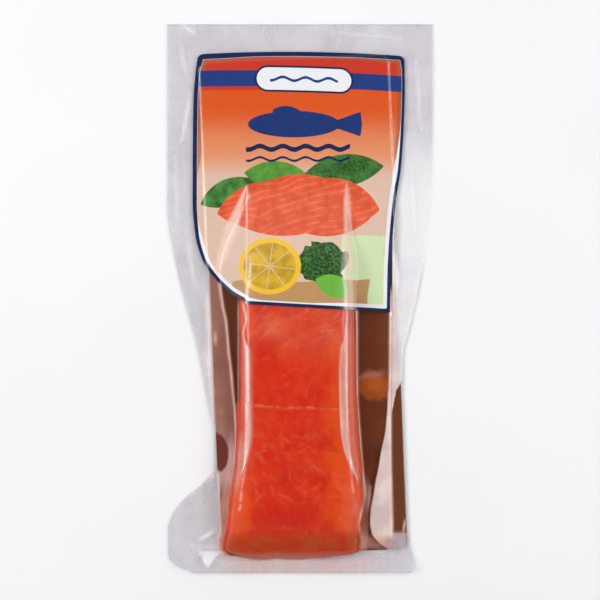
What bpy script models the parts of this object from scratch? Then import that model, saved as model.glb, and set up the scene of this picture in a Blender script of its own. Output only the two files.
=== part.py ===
"""Vacuum pack of smoked salmon: a clear bag drawn down over a fillet on a card, with a label on its face.

The pack lies on its back, shown side up, with its long side along Y. The origin is the middle of its flat
underside. Stations and sizes are in millimetres, and meshes are built in metres, with +Z up.

Two solids:
  pack   the sealed bag with its card and fillet, one body: flat film margins, the card's low step, the
         fillet's ridge with film stretched from its shoulders to the card, and a pleat at the lower right
  label  the printed label, a thin sheet that follows the film under it
"""

import math

import bmesh
import bpy
import numpy as np

MM = 0.001

# Bag
HALF_WIDTH = 66.2
HALF_LENGTH = 137.0
MARGIN_TOP = 1.0  # top of the two flat films beside the card

# Card under the fillet
CARD_WIDTH = 93.2
CARD_LENGTH = 246.5
CARD_MIDDLE = (1.8, -4.0)
CARD_TURN = math.radians(2.3)
CARD_CORNER = 4.0
CARD_TOP = 1.8  # top of the film where it lies on the card
CARD_EDGE_RUN = 1.4  # width of the film's step over the card's edge

# Film over the fillet: squareness of its shoulders, and how softly the film meets what is beside it
SQUARENESS_LEFT = 5.0
SQUARENESS_RIGHT = 4.5
CREASE_SOFTNESS = 0.5

# Label
LABEL_THICKNESS = 0.5
LABEL_GAP = 0.45  # upright gap to the film, about 0.3 square to its steepest slope
LABEL_TOP_LEFT = 122.1
LABEL_TOP_RIGHT = 121.2
LABEL_TOP_RISE = 1.5
LABEL_CORNER = 3.0

# Outlines seen from above, as (y, x) stations from the lower edge to the upper edge
BAG_LEFT = (
    (-137, -54.0), (-133.5, -61.5), (-129, -65.8), (-115, -65.9), (-107, -63.2), (-100, -57.5),
    (-92, -48.2), (-86, -43.4), (-66, -43.0), (-56, -45.2), (-45, -47.5), (-21, -52.3), (-1, -57.8),
    (19, -62.3), (44, -HALF_WIDTH),
)
BAG_RIGHT = (
    (-137, 55.8), (-133.5, 57.8), (-127, 56.3), (-120, 54.3), (-112, 53.5), (-91, 52.6),
    (-76, 51.9), (-41, 51.1), (-28, 51.4), (-16, 54.3), (-1, 57.8), (24, 62.3), (54, HALF_WIDTH),
)
RIDGE_LEFT = (
    (-132, -16.0), (-131, -21.0), (-129, -29.5), (-127, -35.5), (-125, -37.5), (-121, -37.0),
    (-113, -35.3), (-106, -34.7), (-98, -33.7), (-91, -32.6), (-83, -31.5), (-66, -30.8),
    (-26, -30.5), (-3, -30.5), (18, -28.5), (57, -25.0),
)
RIDGE_RIGHT = (
    (-132, 2.0), (-130.5, 8.0), (-129, 20.0), (-127.5, 26.0), (-125, 28.6), (-121, 29.5),
    (-113, 30.4), (-106, 31.2), (-98, 31.6), (-91, 31.0), (-83, 30.3), (-76, 29.6), (-66, 28.7),
    (-46, 27.4), (-3, 27.1), (18, 26.1), (57, 24.5),
)
FOOT_LEFT = (
    (-132, -18.0), (-129, -31.5), (-127, -37.3), (-125, -39.2), (-121, -38.6), (-113, -36.7),
    (-101, -35.6), (-92, -34.2), (-80, -32.5), (-66, -31.9), (-56, -32.5), (-46, -33.6),
    (-36, -34.5), (-26, -35.7), (-18, -36.4), (-11, -37.1), (-3, -38.8), (13, -40.5), (57, -26.0),
)
FOOT_RIGHT = (
    (-132, 4.0), (-129, 22.0), (-127.5, 28.0), (-125, 30.2), (-121, 30.6), (-106, 32.0),
    (-98, 32.4), (-91, 31.8), (-76, 30.4), (-66, 29.6), (-46, 28.4), (-3, 28.2), (18, 30.2),
    (57, 25.5),
)
PLEAT_CREST = (
    (-126, 43.5), (-121, 38.6), (-117, 35.8), (-112, 34.9), (-106, 35.2), (-98, 36.6), (-91, 37.7),
    (-83, 39.3), (-76, 40.5), (-66, 42.6), (-50, 43.8), (-8, 44.4),
)
PLEAT_FOOT = ((-126, 46.6), (-66, 45.6), (-8, 46.0))
LABEL_LEFT = (
    (-2.7, -26.8), (2.4, -34.2), (10.4, -42.6), (19.9, -48.9), (32.9, -52.4), (48.9, -53.6),
    (74, -53.5), (101, -53.1), (112, -52.2), (LABEL_TOP_LEFT, -51.1),
)
LABEL_RIGHT = (
    (-6.8, 44.9), (13.9, 45.2), (31.4, 46.2), (48.9, 47.9), (66.4, 50.5), (88.9, 51.9), (104, 52.3),
    (LABEL_TOP_RIGHT, 52.2),
)

# Height of the film's ridge along the pack, as (y, z) stations
RIDGE_TOP = (
    (-132, 1.6), (-129.5, 4.0), (-125, 8.2), (-119, 12.6), (-113, 15.3), (-104, 16.6), (-80, 17.0),
    (-40, 17.0), (-3, 16.7), (14, 16.3), (20, 15.2), (50, 4.0), (57, 1.9),
)
# The film stands off the card beside the fillet under the label: (y, height over the card)
SHELF_RISE = ((-14, 0.0), (-7, 2.4), (4, 4.2), (26, 4.4), (44, 2.6), (58, 0.0))
SHELF_FROM = 27.0
SHELF_TO = 50.0
PLEAT_SLOPE = 0.3
PLEAT_DROP = 0.8  # width of the steep side of the pleat
PLEAT_STARTS = (-127, -124)  # y between which the pleat rises out of the flat film
PLEAT_ENDS = (-8, -2)
# The left margin of the film rides up over the card's edge: (y, height over the card)
LEFT_LIFT = ((-98, 0.0), (-88, 1.2), (-78, 0.2), (-64, 0.9), (-30, 1.9), (6, 1.4), (34, 0.0))
LEFT_LIFT_REACH = 10.0
LEAST_MARGIN = 1.2  # least width of film beside the card on the left

# Grid of the pack's upper face: bands of rows, as (from y, to y, rows), and faces between lengthwise lines
ROW_BANDS = (
    (-137, -126, 6), (-126, -84, 15), (-84, -20, 11), (-20, 60, 24), (60, 116, 5), (116, 124, 4),
    (124, 137, 2),
)
FACES_ACROSS = (3, 2, 3, 4, 5, 5, 4, 3, 2, 2, 3)
SHOULDER_SHARE = 0.34  # of the ridge's half width, where its shoulder line runs
LEAST_FACE = 0.25

FILM_COLOUR = (0.78, 0.77, 0.80, 1.0)
LABEL_COLOUR = (0.80, 0.25, 0.08, 1.0)


def along(stations, y):
    """A smooth curve through the stations that never overshoots: a monotone cubic, flat past its ends."""
    at, value = (np.array(column, float) for column in zip(*stations))
    steps = np.diff(at)
    secants = np.diff(value) / steps
    slopes = np.zeros_like(value)
    same_way = secants[1:] * secants[:-1] > 0
    before, after = secants[:-1][same_way], secants[1:][same_way]
    slopes[1:-1][same_way] = 2 * before * after / (before + after)
    y = np.clip(y, at[0], at[-1])
    piece = np.clip(np.searchsorted(at, y, side="right") - 1, 0, len(steps) - 1)
    t = (y - at[piece]) / steps[piece]
    return (
        value[piece] * (1 + 2 * t) * (1 - t) ** 2
        + value[piece + 1] * t**2 * (3 - 2 * t)
        + steps[piece] * t * (1 - t) * (slopes[piece] * (1 - t) - slopes[piece + 1] * t)
    )


def smooth_step(low, high, value):
    """0 up to low and 1 past high, with an S-curve between."""
    t = np.clip((value - low) / (high - low), 0, 1)
    return t * t * (3 - 2 * t)


def soft_max(first, second, softness):
    """The larger of two heights, with the crease between them rounded off."""
    return (first + second + np.sqrt((first - second) ** 2 + softness**2)) / 2


def depth_in_card(x, y):
    """How far a point lies inside the card's rounded outline. It is negative outside."""
    x, y = x - CARD_MIDDLE[0], y - CARD_MIDDLE[1]
    across = np.abs(x * math.cos(CARD_TURN) + y * math.sin(CARD_TURN))
    lengthwise = np.abs(y * math.cos(CARD_TURN) - x * math.sin(CARD_TURN))
    past_side = across - CARD_WIDTH / 2 + CARD_CORNER
    past_end = lengthwise - CARD_LENGTH / 2 + CARD_CORNER
    outside = np.hypot(np.maximum(past_side, 0), np.maximum(past_end, 0))
    return CARD_CORNER - outside - np.minimum(np.maximum(past_side, past_end), 0)


def card_side(y, side):
    """x of the card's left (-1) or right (1) edge at y."""
    middle = CARD_MIDDLE[0] - (y - CARD_MIDDLE[1]) * math.tan(CARD_TURN)
    return middle + side * CARD_WIDTH / 2 / math.cos(CARD_TURN)


def ridge_profile(x, y):
    """The fillet's section under tight film: a superellipse with its own squareness on each side."""
    left, right, top = along(RIDGE_LEFT, y), along(RIDGE_RIGHT, y), along(RIDGE_TOP, y)
    from_middle = (x - (left + right) / 2) / ((right - left) / 2)
    squareness = np.where(from_middle < 0, SQUARENESS_LEFT, SQUARENESS_RIGHT)
    inside = np.clip(1 - np.abs(from_middle) ** squareness, 0, 1) ** (1 / squareness)
    return CARD_TOP + (top - CARD_TOP) * inside


def stretched_side(x, y, foot, side):
    """The straight film from its foot line up to the ridge, as (height, x where it touches the ridge)."""
    left, right = along(RIDGE_LEFT, y), along(RIDGE_RIGHT, y)
    outer = left if side < 0 else right
    samples = outer + (-side) * np.linspace(0.001, 1, 80) * (right - left) / 2
    climbs = (ridge_profile(samples, y) - CARD_TOP) / np.maximum(-side * (samples - foot), 0.2)
    best = climbs.argmax(axis=1)[:, None]
    climb = np.take_along_axis(climbs, best, axis=1)
    touches = np.take_along_axis(samples, best, axis=1)
    return CARD_TOP - side * climb * (x - foot), touches


def film_over_fillet(x, y):
    """The ridge of tight film. It runs straight down to its foot lines, and on below the card past them."""
    height = ridge_profile(x, y)
    line_left, touch_left = stretched_side(x, y, along(FOOT_LEFT, y), -1)
    line_right, touch_right = stretched_side(x, y, along(FOOT_RIGHT, y), 1)
    height = np.where(x < touch_left, line_left, height)
    height = np.where(x > touch_right, line_right, height)
    return np.where(y < RIDGE_TOP[-1][0], height, 0.0)


def film_beside_fillet(x, y):
    """The film beside the fillet: the card's step, a shelf under the label, the pleat, a raised left edge."""
    on_card = smooth_step(-CARD_EDGE_RUN / 2, CARD_EDGE_RUN / 2, depth_in_card(x, y) + CARD_EDGE_RUN / 2)
    height = MARGIN_TOP + (CARD_TOP - MARGIN_TOP) * on_card
    outward = np.clip((x - SHELF_FROM) / (SHELF_TO - SHELF_FROM), 0, 1)
    height = height + along(SHELF_RISE, y) * (1 - outward) * (x > 0)
    crest, foot = along(PLEAT_CREST, y), along(PLEAT_FOOT, y)
    rise = PLEAT_SLOPE * np.clip(foot - x, 0, foot - crest)
    from_crest = smooth_step(crest - PLEAT_DROP, crest, x)
    pleat_span = smooth_step(*PLEAT_STARTS, y) * (1 - smooth_step(*PLEAT_ENDS, y))
    height = height + rise * from_crest * pleat_span
    inward = np.clip((x - card_side(y, -1)) / LEFT_LIFT_REACH, 0, 1)
    margin = np.maximum(card_side(y, -1) - along(BAG_LEFT, y), LEAST_MARGIN)
    outer = smooth_step(0, 1, (x - along(BAG_LEFT, y)) / margin)
    return height + along(LEFT_LIFT, y) * (1 - inward) * outer


def film_height(x, y):
    """Height of the film over the whole pack. x has a row for each y, which is a column."""
    return soft_max(film_beside_fillet(x, y), film_over_fillet(x, y), CREASE_SOFTNESS)


def row_places():
    """y of each row of the grid, as a column."""
    rows = [np.linspace(low, high, count, endpoint=False) for low, high, count in ROW_BANDS]
    return np.append(np.concatenate(rows), HALF_LENGTH)[:, None]


def lengthwise_lines(y):
    """x of the lines that the grid follows from end to end: edges of bag and card, and feet and shoulders.

    Where lines would cross, each keeps room for the faces between it and its neighbour.
    """
    left, right = along(RIDGE_LEFT, y), along(RIDGE_RIGHT, y)
    half = (right - left) / 2
    lines = (
        along(BAG_LEFT, y),
        card_side(y, -1) - CARD_EDGE_RUN,
        card_side(y, -1) + CARD_EDGE_RUN / 2,
        along(FOOT_LEFT, y),
        left + half * SHOULDER_SHARE,
        left + half,
        right - half * SHOULDER_SHARE,
        along(FOOT_RIGHT, y),
        along(PLEAT_CREST, y) - PLEAT_DROP,
        along(PLEAT_CREST, y),
        card_side(y, 1) - CARD_EDGE_RUN / 2,
        along(BAG_RIGHT, y),
    )
    rooms = LEAST_FACE * np.append(0, np.cumsum(FACES_ACROSS))
    slack = np.maximum.accumulate(np.hstack(lines) - rooms, axis=1)
    slack[:, -1:] = along(BAG_RIGHT, y) - rooms[-1]
    return np.minimum.accumulate(slack[:, ::-1], axis=1)[:, ::-1] + rooms


def grid_places():
    """(x, y) of the grid's points, row by row."""
    y = row_places()
    lines = lengthwise_lines(y)
    columns = [
        low[:, None] + (high - low)[:, None] * np.linspace(0, 1, count, endpoint=False)
        for low, high, count in zip(lines.T[:-1], lines.T[1:], FACES_ACROSS)
    ]
    x = np.hstack([*columns, lines[:, -1:]])
    return x, np.broadcast_to(y, x.shape)


def object_from(name, vertices, faces, colour, roughness):
    """A shaded object from points in millimetres, with its faces turned outwards."""
    mesh = bpy.data.meshes.new(name)
    mesh.from_pydata((np.asarray(vertices, float) * MM).tolist(), [], faces)
    shaped = bmesh.new()
    shaped.from_mesh(mesh)
    bmesh.ops.recalc_face_normals(shaped, faces=shaped.faces)
    shaped.to_mesh(mesh)
    shaped.free()
    made = bpy.data.objects.new(name, mesh)
    bpy.context.scene.collection.objects.link(made)
    finish = bpy.data.materials.new(name)
    finish.use_nodes = True
    surface = finish.node_tree.nodes["Principled BSDF"]
    surface.inputs["Base Color"].default_value = colour
    surface.inputs["Roughness"].default_value = roughness
    surface.inputs["Metallic"].default_value = 0.0
    mesh.materials.append(finish)
    mesh.shade_smooth()
    mesh.set_sharp_from_angle(angle=math.radians(35))
    return made


def rim_of(rows, columns):
    """Numbers of the points round a grid's edge, in order."""
    lower = [(0, c) for c in range(columns)]
    right = [(r, columns - 1) for r in range(1, rows)]
    upper = [(rows - 1, c) for c in range(columns - 2, -1, -1)]
    left = [(r, 0) for r in range(rows - 2, 0, -1)]
    return [r * columns + c for r, c in lower + right + upper + left]


def grid_faces(rows, columns, start=0):
    """The four-sided faces of a grid of points."""
    corners = [start + r * columns + c for r in range(rows - 1) for c in range(columns - 1)]
    return [(i, i + 1, i + columns + 1, i + columns) for i in corners]


def walls_between(lower, upper):
    """Four-sided faces between two closed loops of points of the same length."""
    return [(lower[i - 1], lower[i], upper[i], upper[i - 1]) for i in range(len(lower))]


def build_pack():
    """The sealed bag: a grid for its upper film, a low wall round its edge and one flat face underneath."""
    x, y = grid_places()
    upper = np.dstack([x, y, film_height(x, y[:, :1])])
    rows, columns = x.shape
    upper = upper.reshape(-1, 3)
    rim = rim_of(rows, columns)
    lower = upper[rim] * (1, 1, 0)
    base = range(len(upper), len(upper) + len(rim))
    faces = grid_faces(rows, columns) + walls_between(base, rim) + [tuple(base)]
    return object_from("pack", np.vstack([upper, lower]), faces, FILM_COLOUR, 0.15)


def corner_arc(middle, radius, start, stop, steps=5):
    """Points of a round corner, from one angle to another in degrees."""
    turns = np.radians(np.linspace(start, stop, steps))
    return np.column_stack([middle[0] + radius * np.cos(turns), middle[1] + radius * np.sin(turns)])


def label_outline():
    """The label's outline: round upper corners, a swept lower left corner and a square lower right one."""
    low_left, low_right = LABEL_LEFT[0][0], LABEL_RIGHT[0][0]
    high_left, high_right = LABEL_TOP_LEFT - LABEL_CORNER, LABEL_TOP_RIGHT - LABEL_CORNER
    right_y = np.linspace(low_right, high_right, 14)
    left_y = high_left + (low_left - high_left) * np.linspace(0, 1, 24) ** 0.8
    right = np.column_stack([along(LABEL_RIGHT, right_y), right_y])
    left = np.column_stack([along(LABEL_LEFT, left_y), left_y])
    corner_right = corner_arc((right[-1, 0] - LABEL_CORNER, high_right), LABEL_CORNER, 0, 85)[1:]
    corner_left = corner_arc((left[0, 0] + LABEL_CORNER, high_left), LABEL_CORNER, 95, 180)[:-1]
    share = np.linspace(0, 1, 9)[1:-1]
    span = corner_right[-1, 0] + (corner_left[0, 0] - corner_right[-1, 0]) * share
    chord = LABEL_TOP_RIGHT + (LABEL_TOP_LEFT - LABEL_TOP_RIGHT) * share
    top = np.column_stack([span, chord + LABEL_TOP_RISE * 4 * share * (1 - share)])
    return np.vstack([right, corner_right, top, corner_left, left])


def build_label():
    """The label: a layer that lies over the pack's own faces, cut to the label's outline."""
    x, y = grid_places()
    low, high = LABEL_RIGHT[0][0] - 4, LABEL_TOP_LEFT + LABEL_TOP_RISE + 1
    rows_kept = (y[:, 0] > low) & (y[:, 0] < high)
    x, y = x[rows_kept], y[rows_kept]
    lower = np.dstack([x, y, film_height(x, y[:, :1]) + LABEL_GAP])
    rows, columns = x.shape
    lower = lower.reshape(-1, 3)
    upper = lower + (0, 0, LABEL_THICKNESS)
    faces = grid_faces(rows, columns) + grid_faces(rows, columns, len(lower))
    rim = rim_of(rows, columns)
    faces += walls_between(rim, [i + len(lower) for i in rim])
    label = object_from("label", np.vstack([lower, upper]), faces, LABEL_COLOUR, 0.3)

    outline = label_outline()
    count = len(outline)
    low_loop = np.column_stack([outline, np.full(count, -5.0)])
    high_loop = np.column_stack([outline, np.full(count, 30.0)])
    low_ring = range(count)
    high_ring = range(count, 2 * count)
    sides = walls_between(low_ring, high_ring) + [tuple(low_ring), tuple(high_ring)]
    cutter = object_from("label_outline", np.vstack([low_loop, high_loop]), sides, LABEL_COLOUR, 0.5)
    cutter.hide_render = True
    cutter.display_type = "WIRE"
    cut = label.modifiers.new("outline", "BOOLEAN")
    cut.operation = "INTERSECT"
    cut.object = cutter
    return label


def main():
    for old in list(bpy.data.objects):
        bpy.data.objects.remove(old)
    build_pack()
    build_label()


main()
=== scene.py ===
"""Looks for a vacuum pack of smoked salmon: clear bag, brown card, piece of salmon and printed label.

Stations and sizes in the shape functions are in millimetres, in the frame of the solids: +Y runs to the
label's top and +Z out of the shown face. Meshes are written in metres.
"""

import math

import bpy
import numpy as np
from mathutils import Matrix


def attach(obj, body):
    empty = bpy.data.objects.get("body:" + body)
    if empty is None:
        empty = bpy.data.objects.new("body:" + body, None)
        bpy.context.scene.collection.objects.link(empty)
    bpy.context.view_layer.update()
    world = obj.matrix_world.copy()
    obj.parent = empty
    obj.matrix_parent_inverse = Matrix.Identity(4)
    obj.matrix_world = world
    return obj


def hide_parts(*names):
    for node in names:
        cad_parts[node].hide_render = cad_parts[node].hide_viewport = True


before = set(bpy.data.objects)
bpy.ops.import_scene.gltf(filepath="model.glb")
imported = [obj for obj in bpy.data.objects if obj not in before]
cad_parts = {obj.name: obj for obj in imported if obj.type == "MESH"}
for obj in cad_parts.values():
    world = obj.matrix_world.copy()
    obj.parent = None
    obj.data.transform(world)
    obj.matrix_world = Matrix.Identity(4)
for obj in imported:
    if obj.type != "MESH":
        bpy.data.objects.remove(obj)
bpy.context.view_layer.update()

bl_info = {
    "name": "Vacuum Pack of Smoked Salmon",
    "version": (1, 0, 0),
    "blender": (4, 5, 0),
    "location": "3D View > Sidebar > Pack",
    "description": "Builds the film, card, fish and label of a vacuum pack round its solids",
    "category": "Object",
}

MM = 0.001

# Sizes of the solids
HALF_LENGTH = 137.0
MARGIN_TOP = 1.0
CARD_WIDTH = 93.2
CARD_LENGTH = 246.5
CARD_MIDDLE = (1.8, -4.0)
CARD_TURN = math.radians(2.3)
CARD_CORNER = 4.0
CARD_TOP = 1.8
CARD_EDGE_RUN = 1.4
SQUARENESS_LEFT = 5.0
SQUARENESS_RIGHT = 4.5
CREASE_SOFTNESS = 0.5
LABEL_TOP_LEFT = 122.1
LABEL_TOP_RIGHT = 121.2
LABEL_TOP_RISE = 1.5
LABEL_CORNER = 3.0
SHELF_FROM = 27.0
SHELF_TO = 50.0
PLEAT_SLOPE = 0.3
PLEAT_DROP = 0.8
PLEAT_STARTS = (-127, -124)
PLEAT_ENDS = (-8, -2)
LEFT_LIFT_REACH = 10.0
LEAST_MARGIN = 1.2

# Clear gap in the milky film at the card's left edge: an arc, by its middle y, half height and depth
GAP_MIDDLE = -77.0
GAP_HALF = 10.0
GAP_DEPTH = 6.3

# Milkiness of the film: of clear film over the card, of the bag's back, and the most anywhere. Where the film
# is steeper than the first slope its paint fades, and past the second slope only a little of it is left.
CLEAR_FILM = 0.012
BACK_FILM_HAZE = 0.05
MOST_HAZE = 0.97
UPRIGHT_SLOPES = (2.6, 6.0)
UPRIGHT_CLEARS = 0.95

# Where the two films start to part at the card's edge and where they are fully apart, as depths in the card
PARTING = (-4.5, -0.8)

# The card as it is cut, and the oil mark on it
CARD_TRIM = 0.3
CARD_WIDER_RIGHT = 0.65
OIL_MIDDLE = (36.4, -43.048)
OIL_RADII = (9.0, 8.0)
OIL_TILT = 0.12

# The piece of salmon: its ends, how ragged its sides and its lower end are, and the lengths over which its
# ends round off and its lower end evens out
SALMON_START = -130.6
SALMON_STOP = 47.0
SALMON_RAGGED = 0.18
SALMON_RAGGED_END = 0.5
SALMON_END_ROUND = 3.0
SALMON_END_EVEN = 6.0
STROKE_RELIEF = 0.10

# Faces and points of the grids. The film's columns are counted between its lengthwise lines. Two of these run
# inside the fish's sides, and one just past its right foot line.
SHOULDER_LEFT = 6.5
SHOULDER_RIGHT = 10.5
PAST_FOOT = 0.6
BAG_ROWS = 240
BAG_FACES = (14, 6, 22, 8, 22, 18, 14, 34, 6, 16, 2, 12, 10, 14)
BAG_LEAST_FACE = 0.05
CARD_GRID = (81, 201)
SALMON_ROWS = 300
SALMON_HALF_COLUMNS = 60
LABEL_COLUMNS = 151
LABEL_ROWS_LOW = 172
LABEL_ROWS_HIGH = 14

# Lines of the solids seen from above, as (y, x) stations from the lower edge to the upper edge
BAG_LEFT = (
    (-137, -54.0), (-133.5, -61.5), (-129, -65.8), (-115, -65.9), (-107, -63.2), (-100, -57.5),
    (-92, -48.2), (-86, -43.4), (-66, -43.0), (-56, -45.2), (-45, -47.5), (-21, -52.3), (-1, -57.8),
    (19, -62.3), (44, -66.2),
)
BAG_RIGHT = (
    (-137, 55.8), (-133.5, 57.8), (-127, 56.3), (-120, 54.3), (-112, 53.5), (-91, 52.6),
    (-76, 51.9), (-41, 51.1), (-28, 51.4), (-16, 54.3), (-1, 57.8), (24, 62.3), (54, 66.2),
)
RIDGE_LEFT = (
    (-132, -16.0), (-131, -21.0), (-129, -29.5), (-127, -35.5), (-125, -37.5), (-121, -37.0),
    (-113, -35.3), (-106, -34.7), (-98, -33.7), (-91, -32.6), (-83, -31.5), (-66, -30.8),
    (-26, -30.5), (-3, -30.5), (18, -28.5), (57, -25.0),
)
RIDGE_RIGHT = (
    (-132, 2.0), (-130.5, 8.0), (-129, 20.0), (-127.5, 26.0), (-125, 28.6), (-121, 29.5),
    (-113, 30.4), (-106, 31.2), (-98, 31.6), (-91, 31.0), (-83, 30.3), (-76, 29.6), (-66, 28.7),
    (-46, 27.4), (-3, 27.1), (18, 26.1), (57, 24.5),
)
FOOT_LEFT = (
    (-132, -18.0), (-129, -31.5), (-127, -37.3), (-125, -39.2), (-121, -38.6), (-113, -36.7),
    (-101, -35.6), (-92, -34.2), (-80, -32.5), (-66, -31.9), (-56, -32.5), (-46, -33.6),
    (-36, -34.5), (-26, -35.7), (-18, -36.4), (-11, -37.1), (-3, -38.8), (13, -40.5), (57, -26.0),
)
FOOT_RIGHT = (
    (-132, 4.0), (-129, 22.0), (-127.5, 28.0), (-125, 30.2), (-121, 30.6), (-106, 32.0),
    (-98, 32.4), (-91, 31.8), (-76, 30.4), (-66, 29.6), (-46, 28.4), (-3, 28.2), (18, 30.2),
    (57, 25.5),
)
PLEAT_CREST = (
    (-126, 43.5), (-121, 38.6), (-117, 35.8), (-112, 34.9), (-106, 35.2), (-98, 36.6), (-91, 37.7),
    (-83, 39.3), (-76, 40.5), (-66, 42.6), (-50, 43.8), (-8, 44.4),
)
PLEAT_FOOT = ((-126, 46.6), (-66, 45.6), (-8, 46.0))
LABEL_LEFT = (
    (-2.7, -26.8), (2.4, -34.2), (10.4, -42.6), (19.9, -48.9), (32.9, -52.4), (48.9, -53.6),
    (74, -53.5), (101, -53.1), (112, -52.2), (LABEL_TOP_LEFT, -51.1),
)
LABEL_RIGHT = (
    (-6.8, 44.9), (13.9, 45.2), (31.4, 46.2), (48.9, 47.9), (66.4, 50.5), (88.9, 51.9), (104, 52.3),
    (LABEL_TOP_RIGHT, 52.2),
)
RIDGE_TOP = (
    (-132, 1.6), (-129.5, 4.0), (-125, 8.2), (-119, 12.6), (-113, 15.3), (-104, 16.6), (-80, 17.0),
    (-40, 17.0), (-3, 16.7), (14, 16.3), (20, 15.2), (50, 4.0), (57, 1.9),
)
SHELF_RISE = ((-14, 0.0), (-7, 2.4), (4, 4.2), (26, 4.4), (44, 2.6), (58, 0.0))
LEFT_LIFT = ((-98, 0.0), (-88, 1.2), (-78, 0.2), (-64, 0.9), (-30, 1.9), (6, 1.4), (34, 0.0))

SHARP_FOLD = math.radians(50)

# Light: the room's glow, darker overhead and at the pack's lower end, and long soft lamps that lay streaks
# along the pack's shoulders, as (name, angle from upright, width, length, glow). Lengths are in metres.
ROOM_GLOW = 0.58
CEILING_GLOW = 0.06
FRONT_GLOW = 0.2
LAMP_AWAY = 1.2
LAMP_FORWARD = 0.2
LAMPS = (
    ("strip_left", -52, 0.30, 0.76, 7.6),
    ("strip_right", 50, 0.30, 0.76, 5.2),
    ("soft_left", -30, 0.50, 1.2, 1.6),
    ("soft_right", 30, 0.50, 1.2, 1.6),
)

# The floor, in metres. Well away from the pack, between two distances in millimetres, it starts to glow by
# itself, so that it stays pale in low views.
FLOOR_REACH = 8.0
FAR_GLOW = 0.42
FAR_FROM_TO = (400, 2200)

# The camera: its place in metres, and its lens and sensor in millimetres
CAMERA_PLACE = (0, -0.00075, 1.2)
CAMERA_LENS = 144
CAMERA_SENSOR = 36
CAMERA_NEAREST = 0.05

# Strokes in the flesh, as (count, x range, y range, slant in degrees or None, lengths, strength). Each has a
# half width in the given range, turns from its slant by the jitter in radians, and is dark or pale.
STROKE_ZONES = (
    (56, (-25, 21), (-104, -64), None, (4, 11), 0.75),
    (26, (-30, 28), (-118, -98), None, (4, 11), 0.6),
    (40, (-23, 19), (-23, 0), 35.0, (6, 18), 1.0),
    (30, (-24, 18), (-62, -24), None, (3, 8), 0.4),
    (20, (-10, 16), (-102, -68), -42.0, (6, 15), 0.9),
    (12, (-24, -4), (-100, -72), -66.0, (5, 11), 0.8),
)
STROKE_HALF_WIDTHS = (0.4, 1.1)
STROKE_JITTER = 0.3
STROKE_BEND = 0.8
STROKE_DARK_SHARE = 0.4
FLAKE_WAVE = 27.0
FLAKE_STEEPNESS = 1.1

# Painted highlights of the tight film over the fish, as (y, x) stations: a streak down the left shoulder with
# its half widths, and the inner and outer edges of a band down the right side
PAINTED_STREAK = (
    (-86.5, -28.9), (-85, -28.4), (-77, -26.4), (-66, -25.5), (-46, -25.9), (-26, -26.2),
    (-23, -27.0), (-17, -28.0), (-10.5, -26.6), (-3, -27.8),
)
STREAK_HALF = ((-86.5, 0.2), (-77, 0.8), (-66, 1.2), (-26, 1.2), (-22, 0.55), (-17, 0.4), (-3, 0.45))
RIGHT_HIGHLIGHT_INNER = (
    (-90, 27.8), (-85, 25.6), (-76, 22.0), (-68, 20.3), (-54, 19.4), (-37, 19.2), (-25, 19.7),
    (-20, 21.6), (-7, 22.7),
)
RIGHT_HIGHLIGHT_OUTER = ((-90, 28.4), (-85, 26.9), (-76, 24.3), (-68, 23.4), (-7, 23.4))

# Painted highlights along the film's creases and edges, from the lowest up, as (line, offset from it, half
# width, opacity, span in y and width of its soft ends, warmth, whiteness)
CREASE_HIGHLIGHTS = (
    ("card_left", -1.2, 1.3, 0.42, (-62, 2, 8), 0.5, 0.9),
    ("card_left", 0.6, 0.5, 0.75, (-119, -86, 3), 0.6, 1.0),
    ("foot_left", 0.0, 0.75, 0.80, (-68, 10, 6), 1.0, 0.6),
    ("ridge_left", 0.0, 0.5, 0.35, (-80, -2, 8), 1.0, 0.3),
    ("band_middle", 0.0, 0.45, 0.40, (-90, -3, 5), 1.0, 0.8),
    ("foot_right", 0.1, 0.6, 0.75, (-98, -3, 4), 1.0, 0.8),
    ("pleat_foot", -0.7, 0.8, 0.90, (-117, 4, 8), 0.9, 1.0),
    ("pleat_crest", 0.4, 0.5, 0.50, (-122, -90, 10), 0.8, 1.0),
)

# Painted glints: highlights laid into the film's colour and opacity, as (from, to, half width, opacity)
GLINTS = (
    ((-58.5, 136.5), (-52.5, 132.8), 0.9, 0.65),
    ((-60, 128), (-57, 112), 1.2, 0.35),
    ((-54.6, 102), (-59.0, 79), 1.0, 0.55),
    ((-62.5, 70), (-61.0, 40), 1.4, 0.30),
    ((-57.5, 34), (-52.0, 6), 1.3, 0.30),
    ((-42.4, -17), (-42.2, -22.5), 0.9, 0.60),
    ((-50.3, -120.6), (-43.0, -116.2), 1.1, 0.80),
    ((-55.0, -123.5), (-39.0, -124.6), 0.9, 0.35),
    ((-40.5, -126.5), (-36.5, -126.9), 0.8, 0.65),
    ((31.2, -87.0), (32.2, -100.0), 0.7, 0.75),
    ((32.6, -98.5), (29.4, -110.5), 1.0, 0.92),
    ((35.3, -94.0), (33.6, -106.5), 0.7, 0.80),
    ((27.4, -99.0), (27.8, -107.0), 1.3, 0.15),
    ((29.2, -112.0), (30.6, -119.5), 0.8, 0.65),
    ((52.4, -110.5), (51.6, -116.8), 0.55, 0.75),
    ((31.0, -38.9), (41.5, -37.2), 1.5, 0.22),
    ((58.0, 118), (60.5, 84), 1.2, 0.40),
    ((55.5, 66), (57.5, 30), 1.0, 0.35),
    ((20, 132.5), (50, 130.0), 1.0, 0.35),
)
# A painted glint in the shape of a triangle, low on the left, by its corners
GLINT_TRIANGLE = ((-52.0, -125.3), (-39.5, -126.8), (-46.2, -134.8))

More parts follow.
